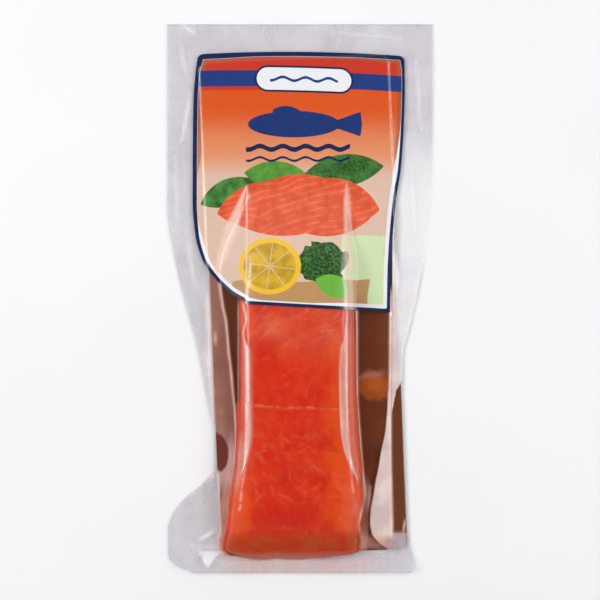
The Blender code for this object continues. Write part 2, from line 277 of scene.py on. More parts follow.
# Long soft folds of the film, as (from, to, height, width)
FOLDS = (
    ((-60, 118), (-57, 60), 0.45, 2.6),
    ((-58, 96), (-63, 66), 0.35, 1.6),
    ((-64, 40), (-50, 6), 0.40, 2.4),
    ((-56, 30), (-49, -20), 0.35, 1.8),
    ((-50, 128), (-10, 124), 0.30, 2.2),
    ((10, 131), (52, 126), 0.35, 2.6),
    ((57, 110), (55, 64), 0.45, 2.4),
    ((61, 84), (56, 40), 0.40, 2.2),
    ((53, 52), (49, 0), 0.50, 1.8),
    ((49, 4), (50.5, -42), 0.55, 1.4),
    ((56, 20), (52, -16), 0.35, 1.8),
    ((-62, -116), (-46, -98), 0.40, 2.6),
    ((-58, -128), (-42, -121), 0.50, 1.5),
    ((-50, -136), (-42, -128), 0.35, 1.2),
    ((-38, -134), (-8, -131), 0.30, 1.6),
    ((4, -132), (44, -130), 0.35, 1.8),
    ((50, -127), (56, -134), 0.40, 1.6),
)

# Print of the label. Leaves and slices are (middle, length, width, turn in degrees).
LEAVES = {
    "leaf_left": ((-36, 53), 30, 13, 24),
    "leaf_middle": ((-11, 61), 34, 15, -6),
    "leaf_right": ((22, 64), 40, 16, 6),
    "green_low": ((17, 6), 20, 11, -20),
}
SLICES = (
    ((-20, 47), 44, 22, 12), ((-2, 51), 54, 22, 4), ((18, 48), 44, 24, -10), ((-6, 40), 56, 18, 3),
    ((16, 39), 42, 16, 8),
)
FISH_MIDDLE = (-3, 87)
HERBS_MIDDLE = (11, 18)
LEMON_MIDDLE = (-15, 16)
LEMON_SEGMENTS = 8
BAND_HALF = 4.0
PLAQUE_MIDDLE = 2
PLAQUE_HALF = 18
PLAQUE_RADIUS = 6.6
PLAQUE_EDGE = 1.0
BARS = {"bar": (75.2, 1.2), "thin_bar": (69.6, 0.6)}
BARS_MIDDLE = -1
BARS_HALF = 26
INK_SOFTNESS = 0.12

# Painted highlights along the label's broad creases: the slanting edge of the tent and the right shoulder, as
# (from, to, strength, half widths along it)
LABEL_CREASE_HIGHLIGHTS = (
    ((-26.8, 56), (-41.5, 14), 0.78, ((0, 0.4), (0.16, 1.2), (0.52, 3.4), (0.81, 2.7), (1, 1.2))),
    ((23.2, 57), (25.0, -6), 0.50, ((0, 0.4), (0.12, 1.7), (0.5, 2.2), (1, 3.0))),
)


def along(stations, y):
    """A monotone cubic through the stations: on each piece a Hermite curve whose end slopes are the harmonic
    means of the secants beside it, so that it never overshoots. Flat past the ends."""
    at, value = (np.array(column, float) for column in zip(*stations))
    steps = np.diff(at)
    secants = np.diff(value) / steps
    slopes = np.zeros_like(value)
    same_way = secants[1:] * secants[:-1] > 0
    before, after = secants[:-1][same_way], secants[1:][same_way]
    slopes[1:-1][same_way] = 2 * before * after / (before + after)
    y = np.clip(y, at[0], at[-1])
    i = np.clip(np.searchsorted(at, y, side="right") - 1, 0, len(steps) - 1)
    t = (y - at[i]) / steps[i]
    return (
        value[i] * (1 + 2 * t) * (1 - t) ** 2
        + value[i + 1] * t**2 * (3 - 2 * t)
        + steps[i] * t * (1 - t) * (slopes[i] * (1 - t) - slopes[i + 1] * t)
    )


def smooth_step(low, high, value):
    """0 up to low and 1 past high, with an S-curve 3t^2 - 2t^3 between."""
    t = np.clip((value - low) / (high - low), 0, 1)
    return t * t * (3 - 2 * t)


def band(value, low, high, edge):
    """1 between low and high, 0 outside, with S-curves of width edge centred on the two limits."""
    return smooth_step(low - edge / 2, low + edge / 2, value) * (
        1 - smooth_step(high - edge / 2, high + edge / 2, value)
    )


def bell(value, middle, half):
    """A bell over the middle, exp(-(d/half)^2): 1 on it and 0.37 at the half width."""
    return np.exp(-(((value - middle) / half) ** 2))


def soft_max(first, second, softness):
    """The larger of two heights, with the crease between them rounded off: half their sum plus half a
    hyperbola of their difference."""
    return (first + second + np.sqrt((first - second) ** 2 + softness**2)) / 2


def bumps(x, y, size, seed):
    """Smooth even noise from -1 to 1: random heights on a square lattice of the size, joined by S-curves."""
    lattice = np.random.default_rng(seed).uniform(-1, 1, (64, 64))
    u, v = np.asarray(x, float) / size + 32, np.asarray(y, float) / size + 32
    i, j = np.floor(u).astype(int), np.floor(v).astype(int)
    s, t = smooth_step(0, 1, u - i), smooth_step(0, 1, v - j)
    low = lattice[i % 64, j % 64] * (1 - s) + lattice[(i + 1) % 64, j % 64] * s
    high = lattice[i % 64, (j + 1) % 64] * (1 - s) + lattice[(i + 1) % 64, (j + 1) % 64] * s
    return low * (1 - t) + high * t


def to_segment(x, y, start, end):
    """Distance from each point to a straight segment, and how far along it the nearest point is, 0 to 1."""
    (x0, y0), (x1, y1) = start, end
    run, rise = x1 - x0, y1 - y0
    share = np.clip(((x - x0) * run + (y - y0) * rise) / (run**2 + rise**2), 0, 1)
    return np.hypot(x - x0 - share * run, y - y0 - share * rise), share


def depth_in_card(x, y):
    """How far a point lies inside the card's rounded outline: the negative distance to a rounded box."""
    x, y = x - CARD_MIDDLE[0], y - CARD_MIDDLE[1]
    across = np.abs(x * math.cos(CARD_TURN) + y * math.sin(CARD_TURN))
    lengthwise = np.abs(y * math.cos(CARD_TURN) - x * math.sin(CARD_TURN))
    past_side = across - CARD_WIDTH / 2 + CARD_CORNER
    past_end = lengthwise - CARD_LENGTH / 2 + CARD_CORNER
    outside = np.hypot(np.maximum(past_side, 0), np.maximum(past_end, 0))
    return CARD_CORNER - outside - np.minimum(np.maximum(past_side, past_end), 0)


def card_side(y, side):
    """x of the card's left (-1) or right (1) edge at y: a straight line across the turned card."""
    middle = CARD_MIDDLE[0] - (y - CARD_MIDDLE[1]) * math.tan(CARD_TURN)
    return middle + side * CARD_WIDTH / 2 / math.cos(CARD_TURN)


def ridge_profile(x, y):
    """The fillet's upright section: (1 - |a|^n)^(1/n) of its height, where a runs from -1 to 1 across it."""
    left, right, top = along(RIDGE_LEFT, y), along(RIDGE_RIGHT, y), along(RIDGE_TOP, y)
    from_middle = (x - (left + right) / 2) / ((right - left) / 2)
    squareness = np.where(from_middle < 0, SQUARENESS_LEFT, SQUARENESS_RIGHT)
    inside = np.clip(1 - np.abs(from_middle) ** squareness, 0, 1) ** (1 / squareness)
    return CARD_TOP + (top - CARD_TOP) * inside


def stretched_side(x, y, foot, side):
    """The straight film from its foot line up to where it touches the ridge, as (height, x where it touches).
    It touches where the line from the foot is steepest."""
    left, right = along(RIDGE_LEFT, y), along(RIDGE_RIGHT, y)
    outer = left if side < 0 else right
    samples = outer + (-side) * np.linspace(0.001, 1, 80) * (right - left) / 2
    climbs = (ridge_profile(samples, y) - CARD_TOP) / np.maximum(-side * (samples - foot), 0.2)
    best = climbs.argmax(axis=1)[:, None]
    climb = np.take_along_axis(climbs, best, axis=1)
    touches = np.take_along_axis(samples, best, axis=1)
    return CARD_TOP - side * climb * (x - foot), touches


def film_over_fillet(x, y):
    """The ridge of tight film, with straight stretched sides down to its foot lines."""
    height = ridge_profile(x, y)
    line_left, touch_left = stretched_side(x, y, along(FOOT_LEFT, y), -1)
    line_right, touch_right = stretched_side(x, y, along(FOOT_RIGHT, y), 1)
    height = np.where(x < touch_left, line_left, height)
    height = np.where(x > touch_right, line_right, height)
    return np.where(y < RIDGE_TOP[-1][0], height, 0.0)


def film_beside_fillet(x, y):
    """The film beside the fish: the card's step, the shelf under the label, the pleat and the raised left
    edge, each a straight or S-shaped rise added to the margin's height."""
    on_card = smooth_step(-CARD_EDGE_RUN / 2, CARD_EDGE_RUN / 2, depth_in_card(x, y) + CARD_EDGE_RUN / 2)
    height = MARGIN_TOP + (CARD_TOP - MARGIN_TOP) * on_card
    outward = np.clip((x - SHELF_FROM) / (SHELF_TO - SHELF_FROM), 0, 1)
    height = height + along(SHELF_RISE, y) * (1 - outward) * (x > 0)
    crest, foot = along(PLEAT_CREST, y), along(PLEAT_FOOT, y)
    rise = PLEAT_SLOPE * np.clip(foot - x, 0, foot - crest)
    from_crest = smooth_step(crest - PLEAT_DROP, crest, x)
    pleat_span = smooth_step(*PLEAT_STARTS, y) * (1 - smooth_step(*PLEAT_ENDS, y))
    height = height + rise * from_crest * pleat_span
    inward = np.clip((x - card_side(y, -1)) / LEFT_LIFT_REACH, 0, 1)
    margin = np.maximum(card_side(y, -1) - along(BAG_LEFT, y), LEAST_MARGIN)
    outer = smooth_step(0, 1, (x - along(BAG_LEFT, y)) / margin)
    return height + along(LEFT_LIFT, y) * (1 - inward) * outer


def flesh_swell(x, y):
    """Low swells of the fish that the tight film copies: two sizes of smooth noise and the dent of the
    seam."""
    return 0.28 * bumps(x, y, 13, 3) + 0.10 * bumps(x, y, 5, 4) - 0.30 * bell(y, seam_line(x), 0.9)


def seam_line(x):
    """y of the pale line that crosses the fish: nearly level, with two slow waves."""
    return -53.9 - 0.045 * x + 0.35 * np.sin(x / 7.0) + 0.2 * np.sin(x / 3.1 + 1.0)


def on_fish(x, y):
    """1 well inside the fish's outline seen from above and 0 at its edge."""
    left, right = along(RIDGE_LEFT, y), along(RIDGE_RIGHT, y)
    inset = np.minimum(x - left, right - x)
    return smooth_step(2, 7, inset) * smooth_step(-131, -122, y) * (1 - smooth_step(30, 48, y))


def folds(x, y):
    """Long soft folds: along each segment a bell across it, that rises and dies away towards its two ends."""
    height = np.zeros(np.broadcast(x, y).shape)
    for start, end, high, wide in FOLDS:
        away, share = to_segment(x, y, start, end)
        height = height + high * bell(away, 0, wide) * np.sin(np.pi * np.clip(share, 0.02, 0.98))
    return height


def film_top(x, y):
    """Height of the bag's upper film: the solid's film, with folds and ripples beside the fish and the fish's
    own swells over it."""
    x, y = np.broadcast_arrays(np.asarray(x, float), np.asarray(y, float))
    shape = x.shape
    x, y = x.reshape(-1, 1), y.reshape(-1, 1)
    over = film_over_fillet(x, y)
    beside = film_beside_fillet(x, y)
    height = soft_max(beside, over, CREASE_SOFTNESS)
    loose = 1 - smooth_step(0.2, 1.5, over - beside)
    tight_on_card = smooth_step(0, 4, depth_in_card(x, y))
    ripple = 0.16 * bumps(x, y * 0.45, 6, 7) + 0.05 * bumps(x, y, 2.6, 8)
    height = height + loose * (folds(x, y) * (1 - 0.4 * tight_on_card) + ripple * (1 - 0.5 * tight_on_card))
    height = height + on_fish(x, y) * flesh_swell(x, y)
    return height.reshape(shape)


def corner_inset(from_end, radius):
    """How far the side of a rounded outline stands in near its end: a quarter circle of the radius."""
    share = np.clip(from_end / radius, 0, 1)
    return radius * (1 - np.sqrt(1 - (1 - share) ** 2))


def rim_of(index):
    """The numbers round the edge of a grid of numbers, in order."""
    return np.concatenate([index[0, :-1], index[:-1, -1], index[-1, :0:-1], index[:0:-1, 0]])


def quads(index):
    """The four-sided faces of a grid of point numbers."""
    corners = index[:-1, :-1], index[:-1, 1:], index[1:, 1:], index[1:, :-1]
    return np.stack([c.ravel() for c in corners], axis=1)


def closed_sheet(upper, lower):
    """A closed mesh of two grids of points that share their edge, as (points, faces)."""
    rows, columns = upper.shape[:2]
    top = np.arange(rows * columns).reshape(rows, columns)
    bottom = top.copy()
    inner = (rows - 2) * (columns - 2)
    bottom[1:-1, 1:-1] = rows * columns + np.arange(inner).reshape(rows - 2, columns - 2)
    points = np.vstack([upper.reshape(-1, 3), lower[1:-1, 1:-1].reshape(-1, 3)])
    return points, np.vstack([quads(top), quads(bottom)[:, ::-1]])


def placed(name, data):
    """A new object in the scene, at the origin."""
    made = bpy.data.objects.new(name, data)
    bpy.context.scene.collection.objects.link(made)
    return made


def piece(name, points, faces, finish, attributes=None, ngon=None):
    """A finished object from points in millimetres, which rides on the body. Each attribute is one number for
    each point."""
    mesh = bpy.data.meshes.new(name)
    corners = faces.tolist()
    if ngon is not None:
        corners.append([int(i) for i in ngon])
    mesh.from_pydata((points * MM).tolist(), [], corners)
    mesh.shade_smooth()
    mesh.set_sharp_from_angle(angle=SHARP_FOLD)
    for key, values in (attributes or {}).items():
        layer = mesh.attributes.new(key, "FLOAT", "POINT")
        layer.data.foreach_set("value", np.ascontiguousarray(values, np.float32).ravel())
    mesh.materials.append(finish)
    made = placed(name, mesh)
    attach(made, "root")
    return made


class Wiring:
    """Puts nodes into one tree and joins them."""

    def __init__(self, tree):
        self.tree = tree

    def feed(self, socket, value):
        if isinstance(value, bpy.types.NodeSocket):
            self.tree.links.new(value, socket)
        else:
            socket.default_value = value

    def add(self, kind, values=(), **settings):
        node = self.tree.nodes.new(kind)
        for key, value in settings.items():
            setattr(node, key, value)
        self.settle(node, dict(values))
        return node

    def settle(self, node, values):
        """Feeds each named input of a node: plain values are set on its own sockets."""
        for key, value in values.items():
            self.feed(node.inputs[key], value)

    def maths(self, operation, *values, clamp=False):
        node = self.add("ShaderNodeMath", operation=operation, use_clamp=clamp)
        for socket, value in zip(node.inputs, values):
            self.feed(socket, value)
        return node.outputs[0]

    def times(self, first, second):
        return self.maths("MULTIPLY", first, second)

    def plus(self, first, second, clamp=False):
        return self.maths("ADD", first, second, clamp=clamp)

    def between(self, value, low, high, at_low=0.0, at_high=1.0):
        """An S-curve of the value, from one result at low to another at high."""
        node = self.add("ShaderNodeMapRange", interpolation_type="SMOOTHSTEP")
        for socket, number in zip(node.inputs, (value, low, high, at_low, at_high)):
            self.feed(socket, number)
        return node.outputs[0]

    def blend(self, share, first, second):
        node = self.add("ShaderNodeMix", data_type="RGBA")
        for number, value in ((0, share), (6, first), (7, second)):
            self.feed(node.inputs[number], value)
        return node.outputs[2]

    def coats(self, colour, layers):
        """A colour with others laid over it in turn, each as (share, colour)."""
        for share, over in layers:
            colour = self.blend(share, colour, over)
        return colour

    def noise(self, places, scale, detail):
        settings = {"Vector": places, "Scale": scale, "Detail": detail}
        return self.add("ShaderNodeTexNoise", settings).outputs["Fac"]

    def relief(self, height, strength, distance):
        """A normal bent by a fine height, which rises by the distance in metres."""
        settings = {"Height": height, "Strength": strength, "Distance": distance}
        return self.add("ShaderNodeBump", settings).outputs[0]

    def attribute(self, name):
        return self.add("ShaderNodeAttribute", attribute_name=name).outputs["Fac"]

    def places(self, scale=(1.0, 1.0, 1.0), turn=0.0):
        """Object coordinates in millimetres, stretched and turned about Z."""
        here = self.add("ShaderNodeTexCoord").outputs["Object"]
        sizes = tuple(s / MM for s in scale)
        node = self.add("ShaderNodeMapping", {"Vector": here, "Scale": sizes, "Rotation": (0, 0, turn)})
        return node.outputs[0]

    def group(self, made, **values):
        return self.add("ShaderNodeGroup", values, node_tree=made).outputs[0]

    def patches(self, places, scale, low, high):
        return self.group(patches_group(), Places=places, Scale=scale, Low=low, High=high)


def node_group(name, sockets, output, build):
    """A shader node group with the given inputs, whose one output is worked out by build."""
    if name in bpy.data.node_groups:
        return bpy.data.node_groups[name]
    tree = bpy.data.node_groups.new(name, "ShaderNodeTree")
    for key, kind, value in sockets:
        socket = tree.interface.new_socket(key, in_out="INPUT", socket_type=kind)
        if value is not None:
            socket.default_value = value
    tree.interface.new_socket(output, in_out="OUTPUT", socket_type="NodeSocketFloat")
    wiring = Wiring(tree)
    inputs = wiring.add("NodeGroupInput").outputs
    wiring.feed(wiring.add("NodeGroupOutput").inputs[0], build(wiring, inputs))
    return tree


def patches_group():
    """Soft irregular patches: noise between two levels, from 0 to 1."""

    def build(w, inputs):
        return w.between(w.noise(inputs["Places"], inputs["Scale"], 3.0), inputs["Low"], inputs["High"])

    sockets = (
        ("Places", "NodeSocketVector", None),
        ("Scale", "NodeSocketFloat", 0.1),
        ("Low", "NodeSocketFloat", 0.4),
        ("High", "NodeSocketFloat", 0.6),
    )
    return node_group("patches", sockets, "Share", build)


def lines_group():
    """Fine lines at every whole number of a phase: 1 on the line, falling to 0 at the given width."""

    def build(w, inputs):
        part = w.maths("FRACT", inputs["Phase"])
        away = w.maths("ABSOLUTE", w.maths("SUBTRACT", part, 0.5))
        return w.between(away, w.maths("SUBTRACT", 0.5, inputs["Width"]), 0.5)

    sockets = (("Phase", "NodeSocketFloat", 0.0), ("Width", "NodeSocketFloat", 0.1))
    return node_group("lines", sockets, "Share", build)


def new_finish(name):
    """A material with a bare Principled shader, as (material, wiring, shader)."""
    finish = bpy.data.materials.new(name)
    finish.use_nodes = True
    return finish, Wiring(finish.node_tree), finish.node_tree.nodes["Principled BSDF"]


def rgba(colour, gain=1.0):
    """A colour with its alpha, brightened or darkened by the gain."""
    return (*(min(1.0, c * gain) for c in colour[:3]), 1.0)


def film_finish(colours):
    """Clear film, milky by its own paint: lilac past the card, warmer over it, and white where painted
    highlights and glints lie along its creases and shoulders. Its alpha is the painted opacity, painted
    highlights included, mottled a little."""
    finish, w, shader = new_finish("clear_film")
    cloud = w.patches(w.places(), 0.09, 0.35, 0.68)
    fine = w.patches(w.places((1.0, 0.25, 1.0), 0.25), 0.5, 0.42, 0.62)
    warmth = w.attribute("warmth")
    milky = w.blend(warmth, rgba(colours.film_pale), rgba(colours.film_warm))
    bright = w.blend(warmth, rgba(colours.film_bright_and_glint), rgba(colours.film_white_and_highlight))
    whiteness = w.plus(w.attribute("whiteness"), w.times(fine, 0.12), clamp=True)
    mottled = w.times(w.attribute("haze_and_highlight"), w.plus(0.9, w.times(cloud, 0.2)))
    w.settle(shader, {
        "Base Color": w.blend(whiteness, milky, bright),
        "Alpha": w.maths("MINIMUM", mottled, 1.0),
        "Roughness": w.plus(0.10, w.times(cloud, 0.10)),
        "IOR": 1.45,
        "Coat Weight": 0.45,
        "Coat Roughness": 0.06,
    })
    return finish


def card_finish(colours):
    """Brown laminated card: fibres, soft blotches, a painted red reflection of the fish beside it and an
    orange oil mark.
    """
    finish, w, shader = new_finish("brown_card")
    blotch = w.patches(w.places(), 0.06, 0.3, 0.7)
    fibre = w.noise(w.places((1.0, 0.12, 1.0)), 2.2, 2.0)
    ragged = w.times(w.patches(w.places(), 0.22, 0.25, 0.75), 0.3)
    oily = w.plus(w.attribute("oil"), ragged)
    colour = w.coats(rgba(colours.card, 0.84), (
        (blotch, rgba(colours.card, 1.14)),
        (w.between(fibre, 0.45, 0.75, 0.0, 0.22), rgba(colours.card, 1.8)),
        (w.times(w.attribute("olive"), 0.7), rgba(colours.olive)),
        # Painted red reflection of the fish on the card beside it
        (w.times(w.attribute("fish_reflection"), 0.85), rgba(colours.fish_reflection)),
        (w.times(w.between(oily, 0.32, 0.75), 0.85), rgba(colours.oil)),
        (w.times(w.between(oily, 0.75, 1.2), 0.6), rgba(colours.oil, 1.35)),
    ))
    w.settle(shader, {
        "Base Color": colour,
        "Roughness": w.between(fibre, 0.3, 0.7, 0.38, 0.55),
        "Normal": w.relief(fibre, 0.15, 0.0001),
        "Specular IOR Level": 0.15,
        "Coat Weight": 0.4,
        "Coat Roughness": 0.12,
    })
    return finish


def salmon_finish(colours):
    """Wet smoked salmon: red flesh with soft mottling, orange flanks, faint zigzag flakes, slanting strokes
    under the label's edge, the pale broken seam, a painted pink sheen and a browner lower end."""
    finish, w, shader = new_finish("salmon_flesh")
    places = w.places()
    broad = w.patches(places, 0.055, 0.36, 0.64)
    patchy = w.patches(w.places((1.0, 0.7, 1.0), 0.6), 0.16, 0.38, 0.66)
    broken = w.patches(places, 0.30, 0.42, 0.62)
    fine = w.patches(places, 0.9, 0.3, 0.75)
    clouds = w.patches(w.places((1.0, 0.6, 1.0), 0.9), 0.30, 0.45, 0.62)
    deep = w.maths("MAXIMUM", w.times(broad, 0.6), w.attribute("deep"))
    flank = w.between(w.plus(w.attribute("flank"), w.times(patchy, 0.25)), 0.30, 1.1)
    pale = w.times(w.attribute("pale_strokes"), w.plus(0.5, w.times(broken, 0.5)))
    seam = w.times(w.attribute("seam"), w.plus(0.2, w.times(broken, 0.8)))
    # Darker and browner towards the lower end
    darker_end = w.times(w.attribute("darker_end"), w.plus(0.7, w.times(patchy, 0.3)))
    browned = w.blend(w.times(patchy, 0.6), rgba(colours.darker_end), rgba(colours.oil, 1.15))
    colour = w.coats(rgba(colours.flesh), (
        (deep, rgba(colours.flesh_deep)),
        (w.times(patchy, 0.30), rgba(colours.flesh_orange)),
        (w.times(clouds, 0.35), rgba(colours.flesh_deep, 0.92)),
        (flank, rgba(colours.flesh_orange)),
        (w.times(pale, 0.6), rgba(colours.fat_and_sheen)),
        (w.times(w.attribute("dark_strokes"), 0.6), rgba(colours.flesh_deep, 0.8)),
        (w.times(fine, 0.05), rgba(colours.fat_and_sheen)),
        # Painted sheen, pale and pink
        (w.times(w.attribute("painted_sheen"), 0.65), rgba(colours.fat_and_sheen)),
        (w.times(seam, 0.75), rgba(colours.fat_and_sheen)),
        (darker_end, browned),
    ))
    w.settle(shader, {
        "Base Color": colour,
        "Roughness": w.plus(0.38, w.times(patchy, 0.15)),
        "Normal": w.relief(w.plus(fine, pale), 0.12, 0.0003),
        "Subsurface Weight": 0.12,
        "Subsurface Radius": (1.0, 0.25, 0.1),
        "Subsurface Scale": 0.003,
        "Specular IOR Level": 0.15,
        "Coat Weight": 0.55,
        "Coat Roughness": 0.08,
    })
    return finish


def bag_lines(y):
    """x of the lines that the film's grid follows from end to end, as columns. Where lines would cross, each
    keeps a little room for the faces between it and its neighbour."""
    left, right = along(RIDGE_LEFT, y), along(RIDGE_RIGHT, y)
    lines = (
        along(BAG_LEFT, y),
        card_side(y, -1) - CARD_EDGE_RUN,
        card_side(y, -1) + CARD_EDGE_RUN / 2,
        along(FOOT_LEFT, y),
        left,
        left + SHOULDER_LEFT,
        (left + right) / 2,
        right - SHOULDER_RIGHT,
        right,
        along(FOOT_RIGHT, y) + PAST_FOOT,
        along(PLEAT_CREST, y) - PLEAT_DROP,
        along(PLEAT_CREST, y),
        along(PLEAT_FOOT, y),
        card_side(y, 1) - CARD_EDGE_RUN / 2,
        along(BAG_RIGHT, y),
    )
    rooms = BAG_LEAST_FACE * np.append(0, np.cumsum(BAG_FACES))
    slack = np.maximum.accumulate(np.hstack(lines) - rooms, axis=1)
    slack[:, -1:] = along(BAG_RIGHT, y) - rooms[-1]
    return np.minimum.accumulate(slack[:, ::-1], axis=1)[:, ::-1] + rooms


def bag_grid():
    """x and y of the film's grid: rows of equal y, columns spread evenly between the lengthwise lines."""
    y = np.linspace(-HALF_LENGTH, HALF_LENGTH, BAG_ROWS + 1)[:, None]
    lines = bag_lines(y)
    columns = [
        low[:, None] + (high - low)[:, None] * np.linspace(0, 1, count, endpoint=False)
        for low, high, count in zip(lines.T[:-1], lines.T[1:], BAG_FACES)
    ]
    x = np.hstack([*columns, lines[:, -1:]])
    return x, np.broadcast_to(y, x.shape)


def laid_over(layers):
    """Milky films and painted highlights laid over each other, from the lowest up. Each is (opacity, warmth,
    whiteness).
    Opacities add as sheets of film do, and the other two are means, weighted by how much of each sheet still
    shows."""
    opacity = warmth = whiteness = 0.0
    for share, warm, white in layers:
        below = opacity * (1 - share)
        opacity = below + share
        weight = np.maximum(opacity, 1e-6)
        warmth = (warmth * below + warm * share) / weight
        whiteness = (whiteness * below + white * share) / weight
    return opacity, warmth, whiteness


def beside_card(x, y):
    """Opacity of the loose film past the card: cloudy on the left, and nearly clear low on the right."""
    cloud = 0.36 + 0.05 * bumps(x, y, 18, 21) + 0.04 * bumps(x, y * 0.4, 7, 22)
    clear_right = smooth_step(20, 50, x) * band(y, -60, 74, 50)
    return cloud * (1 - 0.92 * clear_right)


def on_card_left(x, y):
    """Opacity of the film over the card left of its crease. A round gap, half an ellipse at the card's edge,
    leaves the edge clear."""
    loose = 0.31 + 0.07 * bumps(x, y * 0.4, 6, 25)
    mauve = 0.32 * band(y, -94, -72, 8) + 0.10 * band(y, -72, -54, 8) * (1 - smooth_step(-39, -36, x))
    veil = (loose + mauve) * (1 - smooth_step(-0.7, 0.3, x - along(FOOT_LEFT, y)))
    gap = GAP_DEPTH * np.sqrt(np.clip(1 - ((y - GAP_MIDDLE) / GAP_HALF) ** 2, 0, 1))
    at_gap = band(y, GAP_MIDDLE - GAP_HALF, GAP_MIDDLE + GAP_HALF, 1.5)
    in_gap = (1 - smooth_step(-0.4, 0.4, x - card_side(y, -1) - gap)) * at_gap
    return veil * (1 - 0.95 * in_gap)


def in_pleat(x, y):
    """Two masks of the double film, as (pleat, side): the pleat itself, and the film right of its line above
    the place where the pleat ends."""
    crest, foot = along(PLEAT_CREST, y), along(PLEAT_FOOT, y)
    wedge = band(x, crest, foot - 0.5, 0.8) * band(y, -119, -46, 4)
    side = smooth_step(foot - 0.3, foot + 0.5, x) * smooth_step(-0.3, 0.3, side_line(x) + y)
    return wedge, side * (1 - smooth_step(50, 62, y))


def side_line(x):
    """How far down the double film reaches right of the pleat: straight pieces, lower near the pleat's line
    than at the card's edge."""
    return np.interp(x, (45.5, 46.5, 48, 51), (58, 54, 46, 41))


def film_paint(x, y, upright):
    """How milky the upper film looks, with its painted highlights: (opacity, warmth, whiteness). It is cloudy
    where it stands off what is under it or lies double, clear where it is tight or upright, and carries
    painted highlights along its creases, down its shoulders and as glints."""
    lines = {
        "card_left": card_side(y, -1),
        "foot_left": along(FOOT_LEFT, y),
        "ridge_left": along(RIDGE_LEFT, y),
        "band_middle": along(RIGHT_HIGHLIGHT_OUTER, y),
        "foot_right": along(FOOT_RIGHT, y),
        "pleat_foot": along(PLEAT_FOOT, y),
        "pleat_crest": along(PLEAT_CREST, y),
    }
    foot_left, ridge_left = lines["foot_left"], lines["ridge_left"]
    ridge_right, foot_right = along(RIDGE_RIGHT, y), lines["foot_right"]
    inner, middle = along(RIGHT_HIGHLIGHT_INNER, y), lines["band_middle"]
    on_length = (y > RIDGE_TOP[0][0]) & (y < RIDGE_TOP[-1][0])
    fish = smooth_step(-0.3, 0.7, np.minimum(x - ridge_left, ridge_right - x)) * on_length
    card = np.maximum(smooth_step(-0.8, 0.4, depth_in_card(x, y)), fish)
    hem = card * smooth_step(-0.4, 1.2, x - lines["pleat_crest"]) * (1 - smooth_step(-118.0, -115.8, y))
    fringe_left = band(x, foot_left - 3.4, foot_left + 0.3, 1.6) * band(y, -128, -68, 10)
    fringe_right = band(x, foot_right - 0.2, foot_right + 3.0, 1.6) * band(y, -127, -92, 8)
    corner = band(x, ridge_right + 1, 42, 3) * (1 - smooth_step(-120, -116, y))
    corner = corner * smooth_step(-125.6, -123.4, y)
    below = band(x, -38, 34, 22) * (1 - smooth_step(-130, -126, y))
    wedge, side = in_pleat(x, y)
    side = side * (1 - (1 - card) * smooth_step(0, 30, y))
    beside_label = smooth_step(-2, 14, y)
    on_band = band(y, -90, -3, 5)
    streaky = 0.75 + 0.25 * bumps(x * 2.2, y * 0.12, 2.4, 26)
    mauve = band(y, -94, -66, 14)
    streak_at = along(PAINTED_STREAK, y)
    streak = bell(x, streak_at, along(STREAK_HALF, y)) ** 0.6 * band(y, -87, -2, 3)
    warm_side = 0.5 * (1 - smooth_step(46, 51, x)) * (1 - beside_label)

    # From the lowest up: clear and loose film, painted highlight bands and doubled film, then painted
    # highlights along the creases and painted glints
    layers = [
        (beside_card(x, y) * (1 - card), 0.0, 0.0),
        (CLEAR_FILM * card, 1.0, 0.0),
        (0.26 * below, 1.0, 0.1),
        (0.40 * corner * card, 1.0, 0.1),
        (0.44 * fringe_left, 1.0, 0.15),
        (0.46 * fringe_right, 1.0, 0.05),
        (on_card_left(x, y) * card, 1 - 0.45 * mauve, 0.12 + 0.2 * mauve),
        (0.42 * band(x, foot_left, foot_left + 5, 1.8) * band(y, -94, -70, 14), 1.0, 0.15),
        (0.05 * band(x, ridge_left - 0.2, streak_at, 1.2) * band(y, -86, -3, 4), 1.0, 0.15),
        # Painted highlight down the fish's right side, then milky film with a dimmer painted sheen out to its
        # foot
        (0.76 * band(x, inner, middle, 0.7) * on_band * streaky, 1.0, 0.45),
        (0.26 * band(x, middle, foot_right - 1.4, 0.7) * on_band * streaky, 1.0, 0.10),
        # The pleat: milky doubled film, and a painted white reflection where it stands up
        (wedge * (0.76 + 0.10 * bumps(x, y * 0.5, 6, 28)), 0.6, 1.0),
        ((0.74 + 0.2 * beside_label) * side, warm_side, 1.0),
        (0.60 * hem, 0.9 - 0.6 * smooth_step(42, 47, x), 0.3),
        # Painted highlight streak down the fish's left shoulder
        (0.66 * streak, 1.0, 0.9),
        (0.62 * band(x, ridge_right - 0.5, foot_right + 0.2, 0.9) * band(y, -100, 2, 4), 1.0, 0.1),
    ]
    # Painted highlights along the film's creases
    for line, offset, half, opacity, span, warm, white in CREASE_HIGHLIGHTS:
        layers.append((opacity * bell(x, lines[line] + offset, half) * band(y, *span), warm, white))
    # Painted pink sheen on the film over the fish's upper end
    layers.append((0.05 * band(y, -24, -2, 10) * fish * (0.6 + 0.4 * bumps(x, y, 6, 27)), 1.0, 0.3))
    shown = 1 - UPRIGHT_CLEARS * upright
    layers = [(share * shown, warm, white) for share, warm, white in layers]
    # Painted glints, and the painted triangle of highlight
    for start, end, half, opacity in GLINTS:
        away, share = to_segment(x, y, start, end)
        fade = np.sin(np.pi * np.clip(share, 0.08, 0.92)) ** 0.5
        layers.append((opacity * bell(away, 0, half) * fade, card, 1 - 0.4 * card))
    layers.append((0.7 * smooth_step(-0.4, 0.6, in_triangle(x, y, GLINT_TRIANGLE)), 0.0, 1.0))
    opacity, warmth, whiteness = laid_over(layers)
    return np.clip(opacity, 0, MOST_HAZE), np.clip(warmth, 0, 1), np.clip(whiteness, 0, 1)


